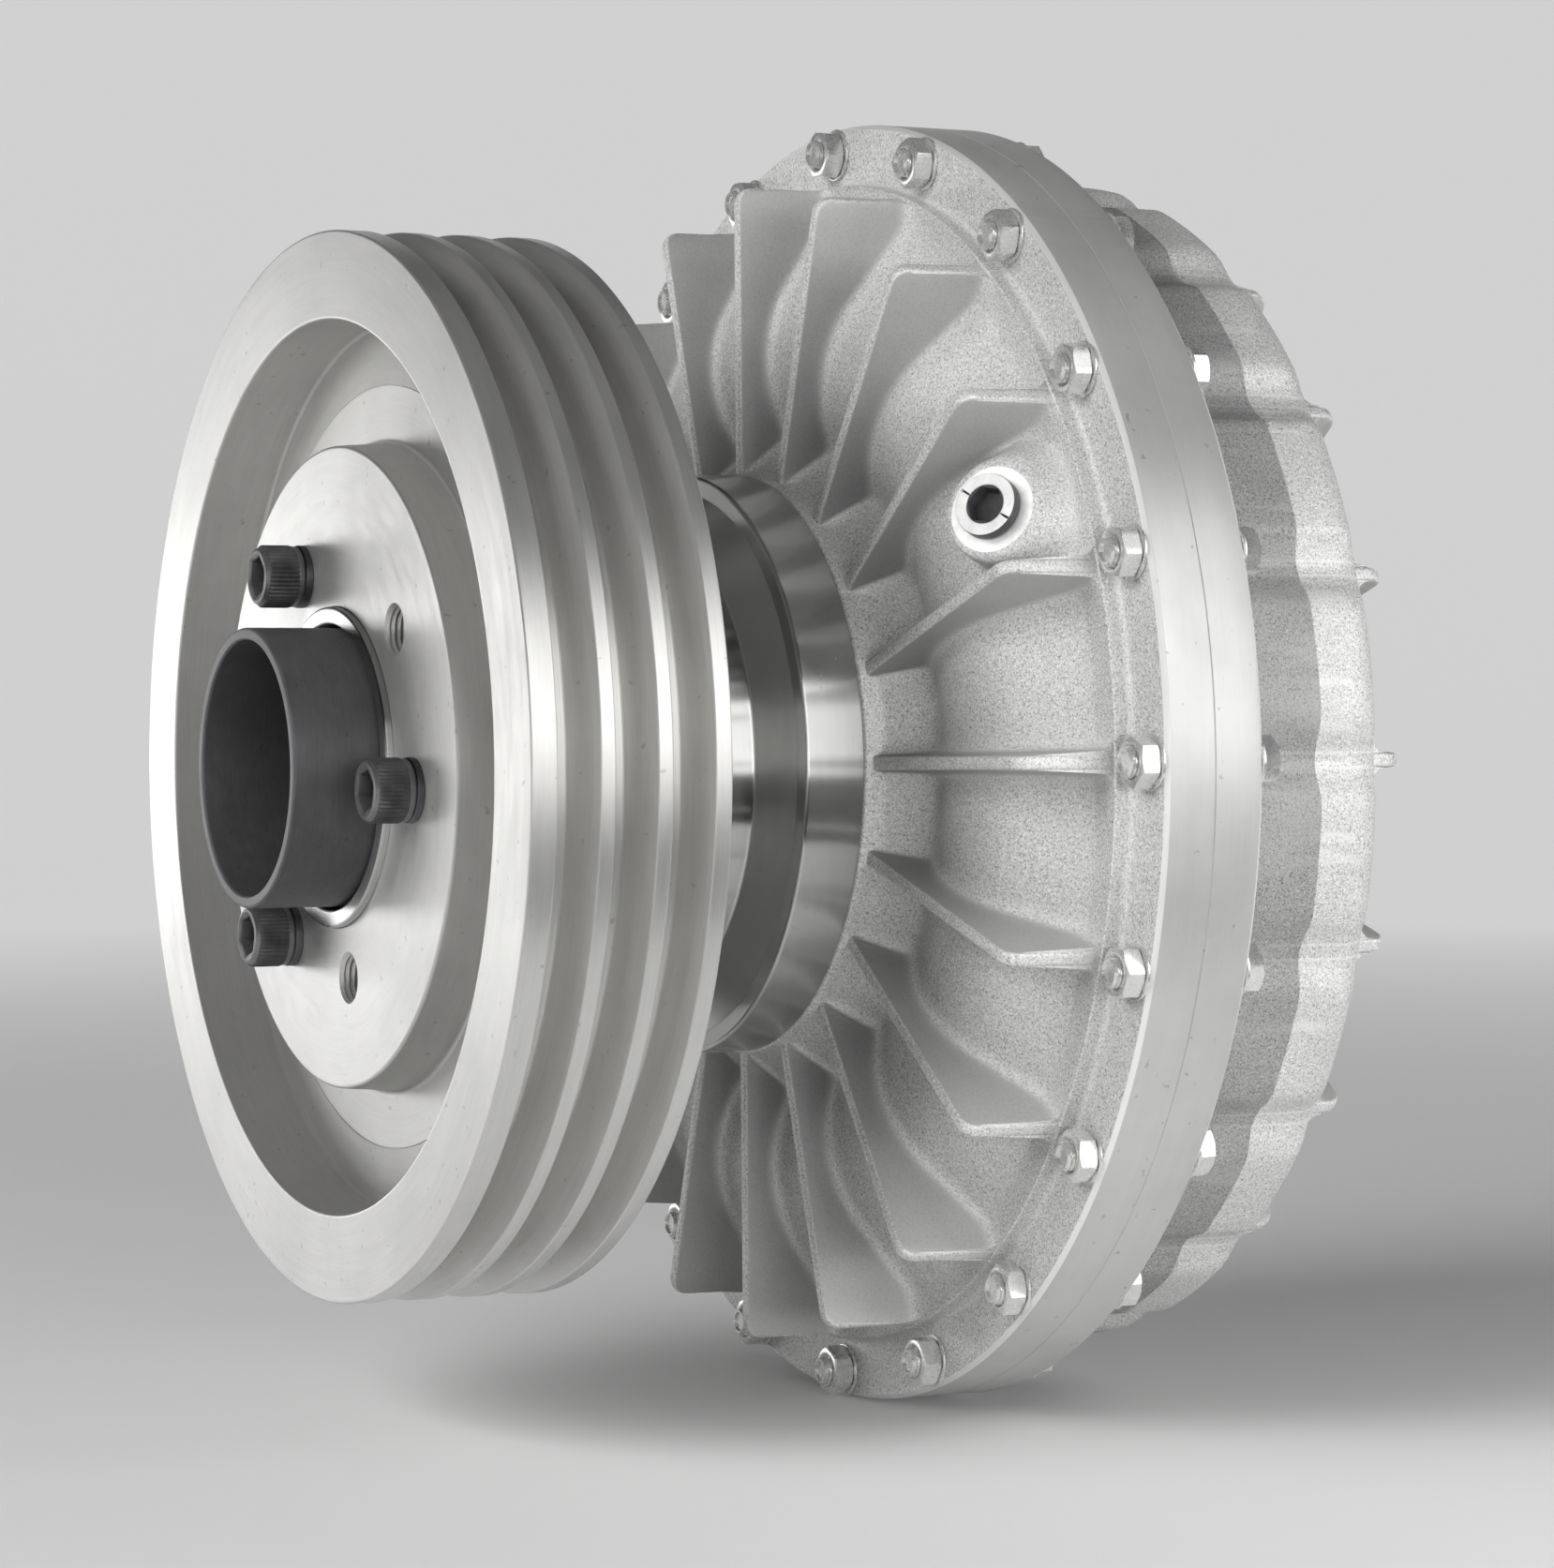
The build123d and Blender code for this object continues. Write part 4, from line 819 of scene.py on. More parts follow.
class COUPLING_OT_front_shell(bpy.types.Operator):
    """Build the front shell: flange, collar, domed bays between drafted fins, hub and plug bosses"""

    bl_idname = "coupling.front_shell"
    bl_label = "Build front shell"

    def execute(self, context):
        sizes = in_mm(context.scene.coupling_shells)
        depth = sizes.flange_depth
        hub_seat, hub_bore, neck = -SHELL_LOW.y, 78.03, 99.4
        crest_radius, crest, arc, wall, fall = 139.0, depth + 27.7, 50.0, 7.0, 32.0
        collar, collar_top = 199.0, depth + 6.0
        bore, register = 190.0, 193.0
        dome = arc_of((crest_radius, crest - arc), arc, -24.0, fall, 15)
        slope = math.tan(math.radians(fall))
        foot = (dome[-1, 0] + (dome[-1, 1] - collar_top) / slope, collar_top)
        hub_corners = [
            (hub_bore, hub_seat),
            (neck, hub_seat, 1.2),
            (neck + 0.9, depth + 35.5, 6.5),
            (112.0, depth + 20.8, 6.5),
            tuple(dome[0]),
            (130.0, hub_seat),
        ]
        hub = outline(hub_corners, 6)[:-2]
        fin_end = [185.6, 187.0, 187.8, 188.6, 189.6, 191.2, 193.4, 195.4, 196.8, 197.6, 197.95, 198.0]
        fin_end += [198.06, 198.3]
        radii = np.concatenate(
            (np.linspace(hub[-1, 0] + 0.5, 158.0, 22), np.linspace(159.3, 184.0, 20), fin_end)
        )
        bays = resampled(np.concatenate((hub[-2:], dome, [foot, (collar + 1.0, collar_top)])), radii)
        bays[:, 1] += np.interp(radii, [foot[0] - 3.0, foot[0], foot[0] + 3.0], [0.0, 0.45, 0.0])
        edge_corners = [
            (194.0, collar_top),
            (collar, collar_top, 0.6),
            (collar + 0.3, depth, 1.8),
            (210.0, depth),
        ]
        edge = outline(edge_corners, 4)[1:-1]
        inner_arc = arc_of((crest_radius, crest - arc), arc - wall, fall, -24.0, 12)
        inner_level = inner_arc[0, 1] - (bore - inner_arc[0, 0]) * slope
        inside = [(register, 0.0), (register, -3.0), (bore, -3.0), (bore, inner_level)]
        hub_inside = [(108.5, depth + 13.8), (96.0, hub_seat - 14.0), (hub_bore, hub_seat - 14.0)]
        rows = rows_of(
            (hub, 1, 0),
            (bays, 1, 0),
            (edge, 0, 0),
            *flange_rows(sizes),
            (inside, 0, 1),
            (inner_arc, 0, 0),
            (hub_inside, 0, 0),
        )
        form = shell_grid(rows, -1.0, front_fin, sizes, (FRONT_SEAT, 16.9, 2.3))
        piece("front_shell_skin", form, "cast rim chamfer spot_face", "front_shell", 40.0)
        return {"FINISHED"}


class COUPLING_OT_rear_shell(bpy.types.Operator):
    """Build the rear shell: fluted barrel, finned back, bearing hub and plug bosses"""

    bl_idname = "coupling.rear_shell"
    bl_label = "Build rear shell"

    def execute(self, context):
        sizes = in_mm(context.scene.coupling_shells)
        depth = sizes.flange_depth
        barrel, barrel_end, back, outside = 202.4, 72.0, 78.5, 216.0
        corner_start = 194.05
        hub_face, hub, valley = 84.0, 90.0, 72.0
        corners = [
            (60.0, hub_face),
            (hub, hub_face, 1.5),
            (96.0, valley, 4.0),
            (116.0, valley, 5.0),
            (128.0, back, 8.0),
            (164.0, back, 8.0),
            (barrel, barrel_end + 1.5, 10.0),
            (barrel, depth, 3.0),
            (outside, depth),
        ]
        profile = outline(corners, 7)[1:-1]
        turn_over = int(np.argmax(profile[:, 0] > barrel - 0.5))
        start = int(np.argmax(profile[:turn_over, 0] > hub + 1.0))
        fin_start = [91.95, 92.0, 92.3, 93.0, 94.0, 95.0]
        fin_end = [188.0, 190.3, 192.2, 193.4, 193.9, 194.0, 194.06]
        between = (np.linspace(98.0, 160.0, 24), np.linspace(163.0, 190.0, 22))
        radii = np.concatenate((profile[start:turn_over, 0], fin_start, *between, fin_end))
        finned = resampled(profile[: turn_over + 1], np.unique(radii.round(3)))
        middle = turn_over + 4
        extra = [(barrel, 50.0), (barrel, 36.0)]
        barrel_rows = np.concatenate((profile[turn_over:middle], extra, profile[middle:]))
        register = [(193.03, 0.0), (193.03, 3.03), (190.0, 3.03)]
        bearing_bore = [(128.0, 70.0), (116.0, 58.0), (60.0, 58.0), (60.0, 64.0)]
        bearing_bore += [(65.03, 64.0), (65.03, hub_face)]
        inside = np.concatenate((register, arc_of((164.0, 44.0), 26.0, 90.0, 0.0, 8), bearing_bore))
        rows = rows_of(
            (profile[:start], 1, 0), (finned, 1, 0), (barrel_rows, 2, 0), *flange_rows(sizes), (inside, 0, 1)
        )

        def flute(span, swings, marked):
            """Draws the barrel in where a flute runs, and the back's corner with it."""
            soft = 0.45
            offset = np.minimum(swings, PITCH - swings) * barrel
            deep = sizes.flute_depth * (1 - (offset / sizes.flute_half) ** 2)
            cut = soft * np.logaddexp(0.0, deep / soft)
            share = np.clip((span - corner_start) / (barrel - corner_start), 0.0, 1.0)
            root = np.clip((outside - span) / (outside - barrel), 0.0, 1.0)
            return np.where(marked, span - cut * share * root**2, span)

        form = shell_grid(rows, 1.0, rear_fin, sizes, (REAR_SEAT, 13.0, 2.0), flute)
        piece("rear_shell_skin", form, "cast rim chamfer spot_face", "rear_shell", 40.0)
        return {"FINISHED"}


# Flange fasteners
def threaded(radius, start, end, pitch=1.5, bite=0.5):
    """Rows of a thread from one height to another."""
    made = []
    steps = int(round((end - start) / pitch * 6))
    for step in range(steps + 1):
        height = start + (end - start) * step / steps

        def wave(angles, height=height):
            phase = np.mod(height / pitch - angles / FULL_TURN, 1.0)
            return radius - bite * np.abs(2 * phase - 1)

        made.append((wave, height))
    return made


def chamfer_of(hexed, ring):
    """How far a 30 degree chamfer has dropped where it meets a hexagon's side, as a function of the angle."""
    return lambda angles: (hexed(angles) - ring) * math.tan(math.radians(30.0))


def nut_form(sizes):
    """A hexagon nut, chamfered on both sides, standing on local z 0."""
    hexed = hexagon(sizes.hex_flats)
    ring = sizes.hex_flats / 2 * 0.96
    bore, tall = sizes.bolt_radius + 0.05, sizes.nut_height
    lower = chamfer_of(hexed, ring)
    rows = [(bore, 0.6), (bore + 0.6, 0.0), (ring, 0.0), (hexed, lower)]
    rows += [(hexed, lambda angles: tall - lower(angles)), (ring, tall)]
    rows += [(bore + 0.9, tall), (bore, tall - 0.9)]
    return stacked(rows, loop_rows=True)


def washer_form(outer, inner, thick):
    """A flat washer with slightly rounded edges, standing on local z 0."""
    corners = [(inner, 0.0), (outer, 0.0, 0.35), (outer, thick, 0.5), (inner, thick, 0.3)]
    return stacked(outline(corners, 3), loop_rows=True)


def bolt_form(sizes, grip, tip):
    """A hexagon bolt. Its head's bearing face is at local z 0 and its tip stands up at grip plus tip."""
    hexed = hexagon(sizes.hex_flats)
    ring = sizes.hex_flats / 2 * 0.95
    head, radius, end = 6.0, sizes.bolt_radius, grip + tip
    crown = chamfer_of(hexed, ring)
    rows = [(ring * 0.55, -head + 0.35), (ring * 0.6, -head), (ring, -head)]
    rows += [(hexed, lambda angles: crown(angles) - head), (hexed, -0.2), (ring, 0.0), (radius, 0.0)]
    rows += [(radius, grip - 1.0), *threaded(radius, grip - 0.6, end - 0.8)]
    rows += [(radius - 0.9, end), (radius - 1.5, end), (radius - 2.2, end - 0.9)]
    return stacked(rows)


class COUPLING_OT_flange_fasteners(bpy.types.Operator):
    """Build the flange's bolts, nuts and washers, each nut and bolt with its own turn"""

    bl_idname = "coupling.flange_fasteners"
    bl_label = "Build flange fasteners"

    def execute(self, context):
        sizes = in_mm(context.scene.coupling_fasteners)
        thick = WASHER_HIGH.y - WASHER_LOW.y
        front, rear = WASHER_LOW.y, -WASHER_LOW.y
        nut_spins, bolt_spins = np.random.default_rng(7).uniform(0.0, FULL_TURN / 6, (2, SECTORS))
        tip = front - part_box("flange_bolts")[0].y / MM - sizes.nut_height
        bolt = bolt_form(sizes, 2 * rear + sizes.nut_height, tip)
        washer = washer_form(sizes.washer_radius, sizes.bolt_radius + 0.5, thick)
        turns = [TURN + step * PITCH for step in range(SECTORS)]
        for name, node_name, form, level, spins in (
            ("zinc_nuts", "flange_nuts", nut_form(sizes), front, nut_spins),
            ("zinc_bolts", "flange_bolts", bolt, rear, bolt_spins),
            ("zinc_front_washers", "front_washers", washer, front + thick, None),
            ("zinc_rear_washers", "rear_washers", washer, rear, None),
        ):
            forms = ring_of(form, sizes.bolt_circle, level, turns, spins=spins)
            piece(name, forms, "zinc", node_name)
        return {"FINISHED"}


# Plugs in the shells
def plug_form():
    """A plug: shank, round collar with two slots in its face, and a hexagon socket. z 0 is the seat."""
    collar, tall, shank, long, flats, columns = 10.4, 4.4, PLUG_SHANK, 11.0, 10.8, 144
    slot_turns, slot_half, slot_depth = (1.75, 4.89), 0.03, 1.4
    socket = hexagon(flats, 1.0)

    def slotted(angles):
        away = [np.abs(np.mod(angles - turn + math.pi, FULL_TURN) - math.pi) for turn in slot_turns]
        return np.where(np.minimum(*away) < slot_half, tall - slot_depth, tall)

    def lead(angles):
        return np.minimum(socket(angles) + 0.2, 6.35)

    rows = [(shank - 1.0, -long), (shank, -long + 1.0), (shank, 0.0), (collar - 0.3, 0.0), (collar, 0.3)]
    rows += [(collar, tall - 0.5), (collar - 0.15, tall - 0.12), (collar - 0.5, slotted)]
    rows += [(collar - 0.9, slotted), (6.9, slotted), (6.5, tall - 0.25), (lead, tall - 0.45)]
    rows += [(socket, tall - 1.1), (socket, tall - 6.0), (3.0, tall - 6.4), (0.6, tall - 7.4)]
    finish = [0] * 6 + [1] * 4 + [0] * 5
    form = stacked(rows, columns, finish=finish)
    sides = len(finish) * columns
    heights = form.points[form.loops[: sides * 4].reshape(-1, 4), 2].mean(axis=1)
    form.finish[:sides][heights < tall - 0.6] = 0
    return form


class COUPLING_OT_plugs(bpy.types.Operator):
    """Build the filler and fusible plugs on their tilted seats"""

    bl_idname = "coupling.plugs"
    bl_label = "Build plugs"

    def execute(self, context):
        lift, spin = 1.0, 0.9
        form = plug_form()
        for node_name, seat, out in (("filler_plugs", FRONT_SEAT, -1.0), ("fusible_plugs", REAR_SEAT, 1.0)):
            both = []
            for turn in PLUG_TURNS:
                point, axis = seat_place(seat, turn, out)
                both.append(placed(form, standing(point + axis * lift, axis, spin)))
            piece(f"{node_name}_finished", joined(both), "black plug_face", node_name)
        return {"FINISHED"}


# Turned parts
class COUPLING_OT_pulley(bpy.types.Operator):
    """Build the three-groove pulley with its recessed web, boss and tapped jacking holes"""

    bl_idname = "coupling.pulley"
    bl_label = "Build pulley"

    def execute(self, context):
        sizes = in_mm(context.scene.coupling_turned)
        circle = in_mm(context.scene.coupling_fasteners).screw_circle
        front, rear = PULLEY_LOW.y, PULLEY_HIGH.y
        rim, inner, boss = sizes.pulley_radius, sizes.rim_inner, sizes.boss_radius
        nose, land = 53.0, 0.7
        boss_face = front + BOSS_SET_BACK
        web, web_back = front + 22.3, front + 40.2
        half_top = sizes.groove_width / 2
        half_floor = half_top - sizes.groove_depth * math.tan(math.radians(19.0))
        floor = rim - sizes.groove_depth
        corners = [
            (nose, boss_face, 0.6),
            (boss, boss_face, 1.0),
            (boss + 1.3, web, 1.5),
            (126.2, web),
            (126.5, web + 0.35),
            (126.9, web + 0.1),
            (inner, web + 2.5, 1.2),
            (inner, front, 0.8),
            (rim, front, land),
        ]
        for index in range(3):
            middle = front + sizes.front_land + half_top + index * sizes.groove_pitch
            corners += [(rim, middle - half_top, land), (floor, middle - half_floor, 1.0)]
            corners += [(floor, middle + half_floor, 1.0), (rim, middle + half_top, land)]
        corners += [(rim, rear, land), (inner, rear, 0.8), (inner, web_back, 5.0), (nose, web_back)]
        low = boss_face - web_back - 2.0
        clear, tapped = 7.5, 7.7
        thread = threaded(tapped + 0.3, low + 0.5, -1.4, 2.0, 0.7)
        holes = []
        for radius, offset, middle in ((clear, 0.0, []), (tapped, math.radians(45.0), thread)):
            wide = radius + 0.9
            hole = stacked([(radius, low), *middle, (radius, -0.9), (wide, 0.0), (wide, 2.0)], 40)
            turns = [FIRST_SCREW + step * FULL_TURN / 3 + offset for step in range(3)]
            holes.append(ring_of(hole, circle, boss_face, turns))
        mesh = bored("pulley_turned", turned(corners, 288), joined(holes))
        piece("pulley_turned", mesh, "iron", "v_belt_pulley", 28.0)
        return {"FINISHED"}


class COUPLING_OT_neck(bpy.types.Operator):
    """Build the polished neck: seat ring, cone, body, pulley flange and nose"""

    bl_idname = "coupling.neck"
    bl_label = "Build neck"

    def execute(self, context):
        ring = in_mm(context.scene.coupling_turned).ring_radius
        seat, ring_front = SHELL_LOW.y, SHELL_LOW.y - 21.2
        nose_front, end = SPOOL_LOW.y, SPOOL_HIGH.y
        flange_front, flange_rear = PULLEY_HIGH.y - 26.2, PULLEY_HIGH.y - 6.2
        body, bearing, nose, flange, tube_room, seal_room = 77.4, 65.03, 52.97, 95.0, 47.3, 60.0
        corners = [
            (tube_room, nose_front, 0.8),
            (nose, nose_front, 0.8),
            (nose, flange_front),
            (flange, flange_front),
            (flange, flange_rear, 0.8),
            (body, flange_rear, 3.0),
            (body, ring_front - 8.2, 1.5),
            (92.5, ring_front, 0.6),
            (ring, ring_front, 1.2),
            (ring, seat, 0.5),
            (78.0, seat),
            (78.0, end, 0.5),
            (bearing, end, 0.5),
            (bearing, flange_rear + 2.0),
            (seal_room, flange_rear + 2.0),
            (seal_room, flange_front + 7.0),
            (tube_room, flange_front + 7.0),
        ]
        piece("neck_polished", turned(corners, 288), "steel", "neck_spool", 28.0)
        return {"FINISHED"}


class COUPLING_OT_shaft(bpy.types.Operator):
    """Build the hollow shaft: dark tube, seats, flange and keyed bore"""

    bl_idname = "coupling.shaft"
    bl_label = "Build hollow shaft"

    def execute(self, context):
        sizes = in_mm(context.scene.coupling_turned)
        tube, bore, seat, body, stop, flange = sizes.tube_radius, sizes.tube_bore, 47.5, 52.0, 56.0, 88.0
        front, rear = SHAFT_LOW.y, SHAFT_HIGH.y
        motor, step = 30.0, rear - 140.0
        corners = [
            (bore, front, 0.9),
            (tube, front, 0.9),
            (tube, -152.5),
            (seat, -152.5, 0.3),
            (seat, -35.5),
            (body, -35.5, 0.5),
            (body, -9.5),
            (stop, -9.5, 0.5),
            (stop, 4.5),
            (flange, 4.5, 0.8),
            (flange, 14.5, 0.8),
            (body, 14.5),
            (body, 64.0, 0.5),
            (seat, 64.0),
            (seat, 85.5, 0.5),
            (tube, 85.5),
            (tube, rear, 1.0),
            (motor, rear, 1.0),
            (motor, step),
            (bore, step),
        ]
        key_half, key_top = 9.0, motor + 4.4
        section = [(-key_half, 0.0), (key_half, 0.0), (key_half, key_top), (-key_half, key_top)]
        key = grid(np.array([[(x, y, z) for x, z in section] for y in (step - 1.0, rear + 1.0)]), caps=True)
        mesh = bored("shaft_dark", turned(corners, 192), key)
        piece("shaft_dark", mesh, "tube", "hollow_shaft", 28.0, "shaft")
        return {"FINISHED"}


# Socket screws
def socket_screw_form(shank, head, tall, long, flats, knurls):
    """A socket screw: shank, knurled head with a bright rim, hexagon socket. z 0 is under the head."""
    socket = hexagon(flats, 1.0)
    rim = 0.12 * head
    plain = head - 0.25 * rim

    def knurled(angles):
        return head - 0.028 * head * (1 + np.cos(angles * knurls))

    def lead(angles):
        return np.minimum(socket(angles) + 0.25, flats * 0.62)

    rows = [(shank - 0.8, -long), (shank, -long + 0.8), (shank, 0.0), (head * 0.94, 0.0)]
    rows += [(plain, 0.04 * tall), (plain, 0.16 * tall)]
    rows += [(knurled, 0.20 * tall), (knurled, 0.50 * tall), (knurled, 0.86 * tall)]
    rows += [(head - 0.6 * rim, 0.90 * tall), (head - rim, 0.985 * tall), (head - 1.4 * rim, tall)]
    rows += [(flats * 0.66, tall), (lead, tall - 0.5), (socket, tall - 0.9), (socket, 0.48 * tall)]
    rows += [(flats * 0.3, 0.44 * tall), (0.4, 0.34 * tall)]
    finish = [0] * 4 + [1] + [0] * 4 + [1] * 2 + [0] * 6
    return stacked(rows, knurls * 4, finish=finish)


class COUPLING_OT_socket_screws(bpy.types.Operator):
    """Build the pulley's socket screws with lock washers, and the cover's screws"""

    bl_idname = "coupling.socket_screws"
    bl_label = "Build socket screws"

    def execute(self, context):
        circle, cover_circle = in_mm(context.scene.coupling_fasteners).screw_circle, 75.0
        face, thick, slot = PULLEY_LOW.y + BOSS_SET_BACK, 2.6, "black_screw_steel"
        black = "black black_edge"
        turns = FIRST_SCREW + np.arange(3) * FULL_TURN / 3
        big = socket_screw_form(7.0, 10.5, 14.0, 38.0, 12.0, 44)
        heads = ring_of(big, circle, face - thick, turns, spins=0.35 + turns)
        rings = ring_of(washer_form(10.5, 7.5, thick), circle, face, turns)
        piece("pulley_screws_knurled", heads, black, "pulley_screws")
        piece("pulley_spring_washers", rings, "spring", "pulley_lock_washers")
        turns = np.arange(6) * FULL_TURN / 6
        small = socket_screw_form(3.0, 5.0, 6.0, 20.0, 5.0, 30)
        ends = ring_of(small, cover_circle, COVER_HIGH.y, turns, REARWARD, turns)
        piece("cover_screws_knurled", ends, black, "cover_screws")
        return {"FINISHED"}


class COUPLING_OT_cover(bpy.types.Operator):
    """Build the rear bearing cover with a turned face and rounded edge"""

    bl_idname = "coupling.cover"
    bl_label = "Build rear bearing cover"

    def execute(self, context):
        front, back, face = COVER_LOW.y, COVER_HIGH.y, REAR_HIGH.y - 2.0
        bore, spigot, rim = 60.0, 65.0, 86.0
        corners = [(bore, back, 1.0), (rim, back, 1.6), (rim, face, 0.4), (spigot, face)]
        corners += [(spigot, front, 0.4), (bore, front)]
        piece("cover_turned", turned(corners, 192), "rim", "rear_bearing_cover", 28.0)
        return {"FINISHED"}


# Studio
def dark_card(name, wide, tall, black):
    """A black card that shows in glossy reflections and nowhere else."""
    mesh = bpy.data.meshes.new(name)
    half, high = wide / 2, tall / 2
    points = [(-half, -high, 0), (half, -high, 0), (half, high, 0), (-half, high, 0)]
    mesh.from_pydata(points, [], [(0, 1, 2, 3)])
    mesh.materials.append(black)
    made = linked(name, mesh)
    for rays in ("camera", "diffuse", "shadow", "transmission", "volume_scatter"):
        setattr(made, f"visible_{rays}", False)
    return made


def lay_along(thing, turn, distance, shift, side):
    """Lays a flat thing parallel to the shaft axis at an angle round it, its +Z or -Z side to the axis."""
    outward = Vector((math.cos(turn), 0.0, math.sin(turn)))
    aside = Vector((-math.sin(turn), 0.0, math.cos(turn)))
    thing.location = outward * distance + Vector((0.0, shift, 0.0))
    thing.rotation_euler = Matrix((aside, Vector((0, side, 0)), -side * outward)).transposed().to_euler()


def lamp(name, place, target, wide, tall, brightness, beam=180.0):
    """A soft rectangular lamp, aimed at a target. brightness is what its surface shows head on."""
    light = bpy.data.lights.new(name, "AREA")
    light.shape = "RECTANGLE"
    light.size, light.size_y = wide, tall
    light.energy = brightness * math.pi * wide * tall
    if beam < 180.0:
        half = math.radians(beam / 2)
        light.spread = 2 * half
        light.energy *= 1 - half / math.tan(half)
    made = linked(name, light)
    made.location = place
    made.rotation_euler = (Vector(target) - Vector(place)).to_track_quat("-Z", "Y").to_euler()
    made.visible_camera = False
    return made


def strip_lamp(name, span, distance, brightness, beam=180.0):
    """A soft strip lamp parallel to the shaft axis, over a span of elevations in degrees."""
    long, shift = 3.6, 0.8
    low, high = np.radians(span)
    wide = 2 * distance * math.tan((high - low) / 2)
    made = lamp(name, (0, 0, 0), (0, 0, 1), wide, long, brightness, beam)
    lay_along(made, (low + high) / 2, distance, shift, -1)
    return made


def backdrop_paint(base):
    """Matt paper for the floor and backdrop, very slightly uneven, that shows pale from further away."""
    material, tree, shader = new_material("backdrop_paper")
    feed(shader.inputs["Base Color"], times(base, ramp(noise(tree, 1.4, 3.0, 0.5), (0.3, 0.97), (0.7, 1.03))))
    shader.inputs["Roughness"].default_value = 0.9
    shader.inputs["Specular IOR Level"].default_value = 0.1
    path = signals(node(tree, "LightPath").outputs)
    seen = path["Is Camera Ray"].maths("MAXIMUM", path["Is Glossy Ray"])
    seen = seen.maths("MAXIMUM", path["Is Transmission Ray"])
    place = signal(tree, "NewGeometry", output="Position")
    far = signal(tree, "VectorMath", {0: place}, "Value", operation="LENGTH")
    share = seen * spread(far, 0.4, 3.2, **{"To Min": 0.06, "To Max": 0.75})
    paper = signal(tree, "Emission", {"Color": base})
    both = signal(tree, "MixShader", {0: share, 1: Signal(shader.outputs[0]), 2: paper})
    feed(found(tree, "OUTPUT_MATERIAL").inputs["Surface"], both)
    return material


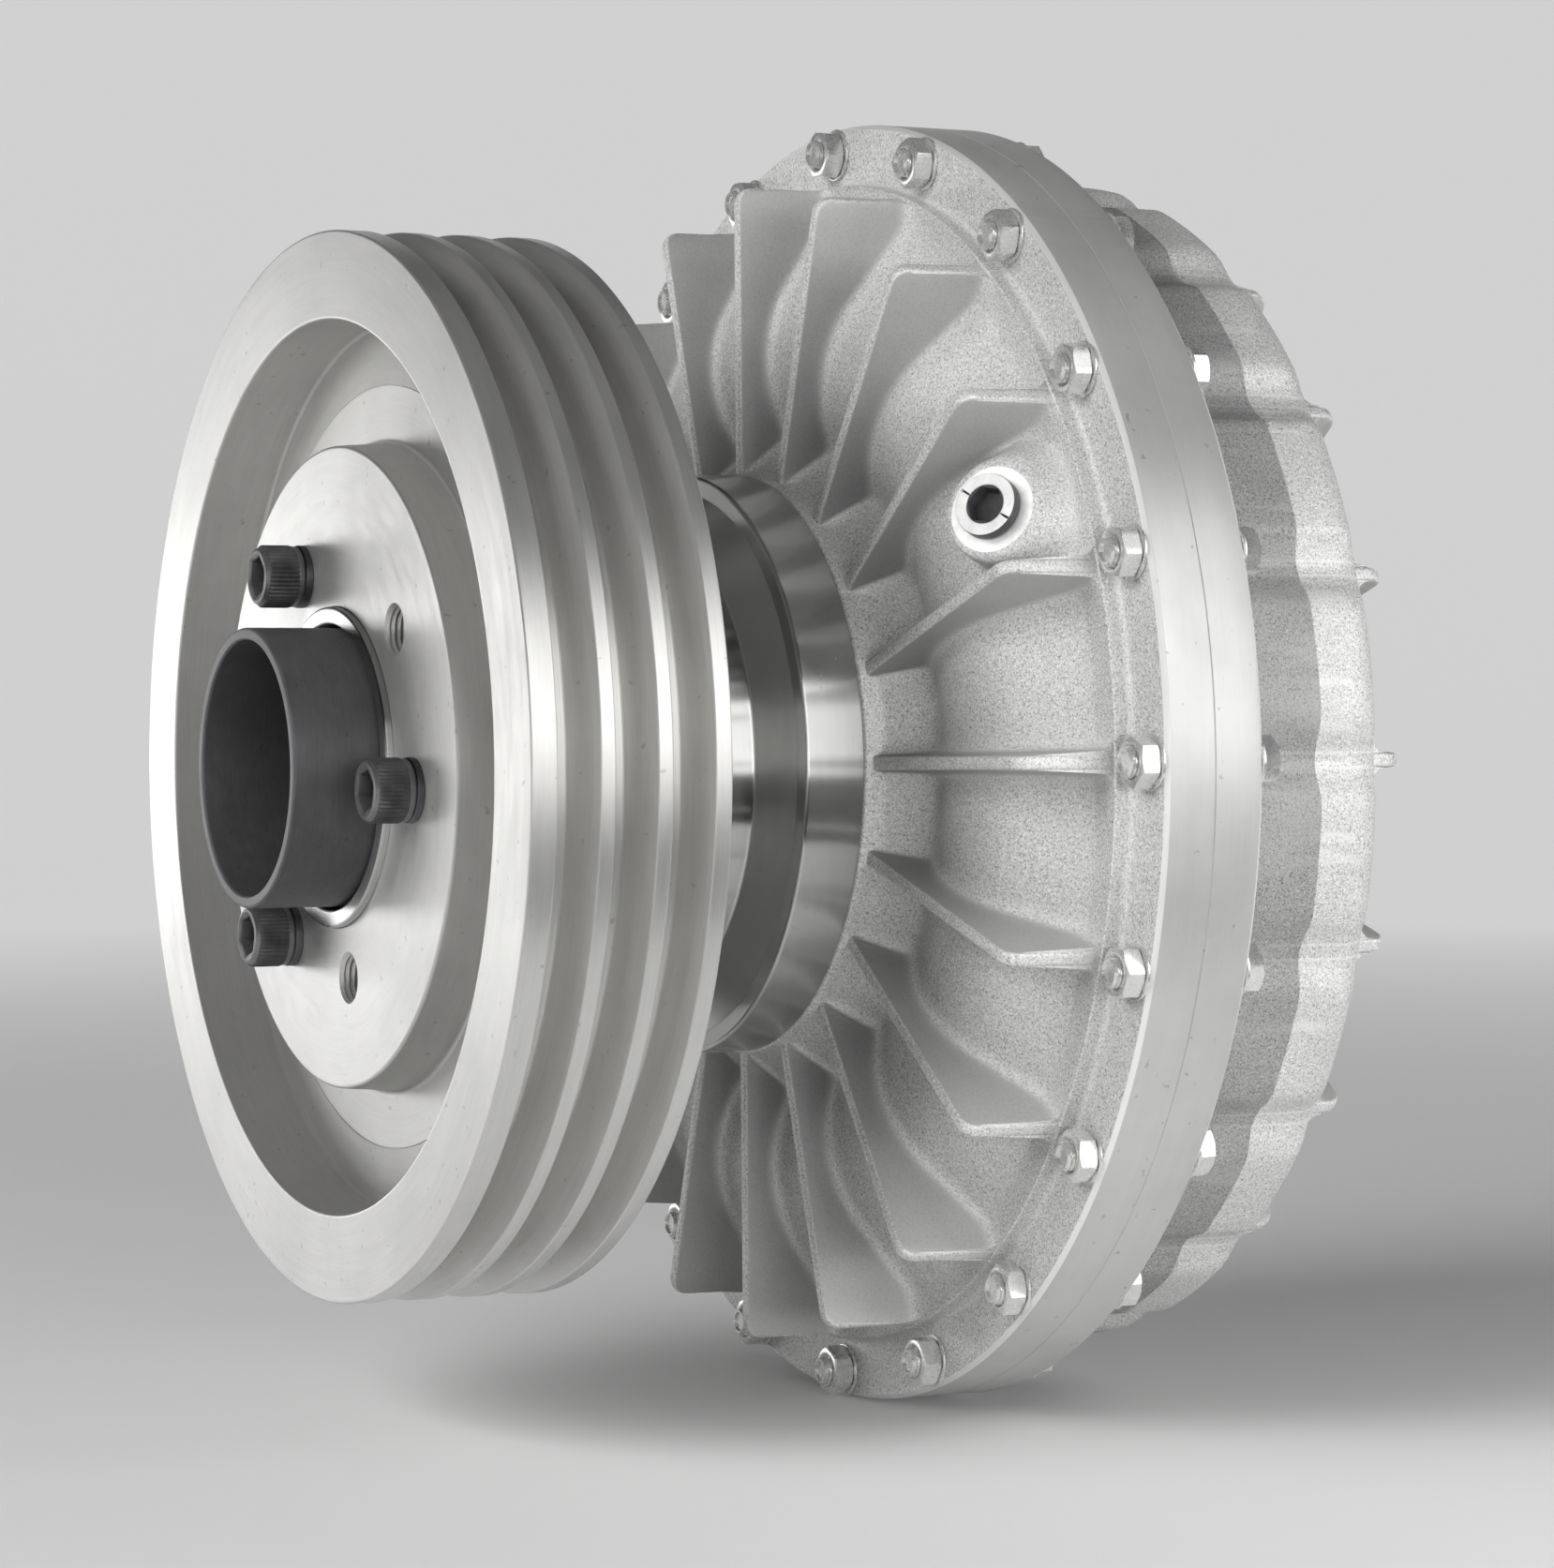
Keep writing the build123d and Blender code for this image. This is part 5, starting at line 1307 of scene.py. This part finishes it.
class COUPLING_OT_studio(bpy.types.Operator):
    """Build the pale floor and backdrop, the soft lamps, the black cards and the camera"""

    bl_idname = "coupling.studio"
    bl_label = "Build studio"

    def execute(self, context):
        scene = context.scene
        studio = scene.coupling_studio
        floor_level = (SHELL_LOW.z - 0.4) * MM
        flat, tall, bend = 5.0, 4.0, 1.5
        profile = [(0.01, floor_level)] + [(flat * share, floor_level) for share in (0.1, 0.3, 0.6, 1.0)]
        for swing in np.radians(np.arange(1, 13) * 90.0 / 12):
            profile.append((flat + bend * math.sin(swing), floor_level + bend * (1 - math.cos(swing))))
        profile.append((flat + bend, floor_level + tall))
        span = np.array(profile)
        form = grid(upright(span[:, :1], span[:, 1:], np.linspace(0, FULL_TURN, 96, endpoint=False)[None, :]))
        mesh = bpy.data.meshes.new("backdrop")
        mesh.from_pydata(form.points.tolist(), [], form.loops.reshape(-1, 4).tolist())
        mesh.update()
        mesh.flip_normals()
        mesh.shade_smooth()
        mesh.materials.append(backdrop_paint(tuple(studio.floor)))
        linked("backdrop", mesh)

        strip_lamp("key_strip", (-14.0, 8.0), 2.5, studio.key, 120.0).visible_glossy = False
        strip_lamp("key_glow", (-4.0, 31.0), 2.4, studio.glow).visible_diffuse = False
        lamp("front_fill", (0.45, -2.3, 1.1), (0, 0, 0), 1.9, 1.6, studio.fill, 80.0).visible_glossy = False
        lamp("side_glow", (-2.33, -1.14, -0.02), (0, 0, -0.02), 3.0, 0.34, studio.side)
        lamp("floor_wash", (1.25, 0.9, 0.5), (1.25, 0.9, floor_level), 1.3, 1.5, studio.wash, 130.0)

        black, _, shader = new_material("black_card")
        shader.inputs["Base Color"].default_value = (0.012, 0.012, 0.012, 1.0)
        shader.inputs["Roughness"].default_value = 1.0
        shader.inputs["Specular IOR Level"].default_value = 0.0
        flag_distance = 1.9
        for index, span in enumerate(((34.0, 49.0), (58.0, 71.0), (114.0, 132.0))):
            low, high = np.radians(span)
            flag = dark_card(f"flag_{index}", 2 * flag_distance * math.tan((high - low) / 2), 3.0, black)
            lay_along(flag, (low + high) / 2, flag_distance, 1.3, 1)
        mat = dark_card("dark_floor", 3.8, 3.4, black)
        lay_along(mat, -math.pi / 2, -floor_level - 1.0 * MM, 1.2, 1)
        mat.location.x += 2.35
        walls = (((-1.9, -1.6, 1.6), 3.6), ((2.3, -2.0, 1.65), 3.2), ((0.2, -2.6, 1.7), 3.4))
        for index, (place, wide) in enumerate(walls):
            wall = dark_card(f"dark_wall_{index}", wide, 2.6, black)
            wall.location = place
            wall.rotation_euler = Vector((-place[0], -place[1], 0.0)).to_track_quat("Z", "Y").to_euler()

        world = bpy.data.worlds.new("pale_room")
        scene.world = world
        world.use_nodes = True
        back = found(world.node_tree, "BACKGROUND")
        back.inputs["Color"].default_value = (1.0, 1.0, 1.0, 1.0)
        back.inputs["Strength"].default_value = studio.world
        scene.view_settings.view_transform = "Standard"

        # The lens as solved from the photo: its focal length in pixels over the photo's height
        focal_pixels, photo_height = 5068.5, 1673
        camera = bpy.data.cameras.new("camera")
        camera.sensor_fit = "VERTICAL"
        camera.sensor_height = 36.0
        camera.lens = focal_pixels / photo_height * 36.0
        camera.clip_start, camera.clip_end = 0.05, 50.0
        stand = linked("camera", camera)
        stand.location = (1.4732, -0.7650, 0.0298)
        stand.rotation_euler = Vector((-0.8977, 0.4402, -0.0225)).to_track_quat("-Z", "Y").to_euler()
        scene.camera = stand
        return {"FINISHED"}


class COUPLING_PT_panel(bpy.types.Panel):
    """Lists the coupling's builders and its sizes"""

    bl_idname = "COUPLING_PT_panel"
    bl_label = "Fluid coupling"
    bl_space_type = "VIEW_3D"
    bl_region_type = "UI"
    bl_category = "Coupling"

    def draw(self, context):
        for builder in BUILDERS:
            self.layout.operator(builder.bl_idname)
        for name, group in GROUPS.items():
            box = self.layout.box()
            for label in group.__annotations__:
                box.prop(getattr(context.scene, name), label)


BUILDERS = (
    COUPLING_OT_finishes,
    COUPLING_OT_front_shell,
    COUPLING_OT_rear_shell,
    COUPLING_OT_flange_fasteners,
    COUPLING_OT_plugs,
    COUPLING_OT_pulley,
    COUPLING_OT_neck,
    COUPLING_OT_shaft,
    COUPLING_OT_socket_screws,
    COUPLING_OT_cover,
    COUPLING_OT_studio,
)


def register():
    """Registers the groups, operators and panel."""
    for name, group in GROUPS.items():
        bpy.utils.register_class(group)
        setattr(bpy.types.Scene, name, bpy.props.PointerProperty(type=group))
    for builder in (*BUILDERS, COUPLING_PT_panel):
        bpy.utils.register_class(builder)


def unregister():
    """Takes the panel, operators and groups away again."""
    for builder in reversed((*BUILDERS, COUPLING_PT_panel)):
        bpy.utils.unregister_class(builder)
    for name, group in GROUPS.items():
        delattr(bpy.types.Scene, name)
        bpy.utils.unregister_class(group)


def main():
    register()
    for builder in BUILDERS:
        area, verb = builder.bl_idname.split(".")
        if getattr(getattr(bpy.ops, area), verb)() != {"FINISHED"}:
            raise RuntimeError(f"{builder.bl_label} did not finish")


if __name__ == "__main__":
    main()
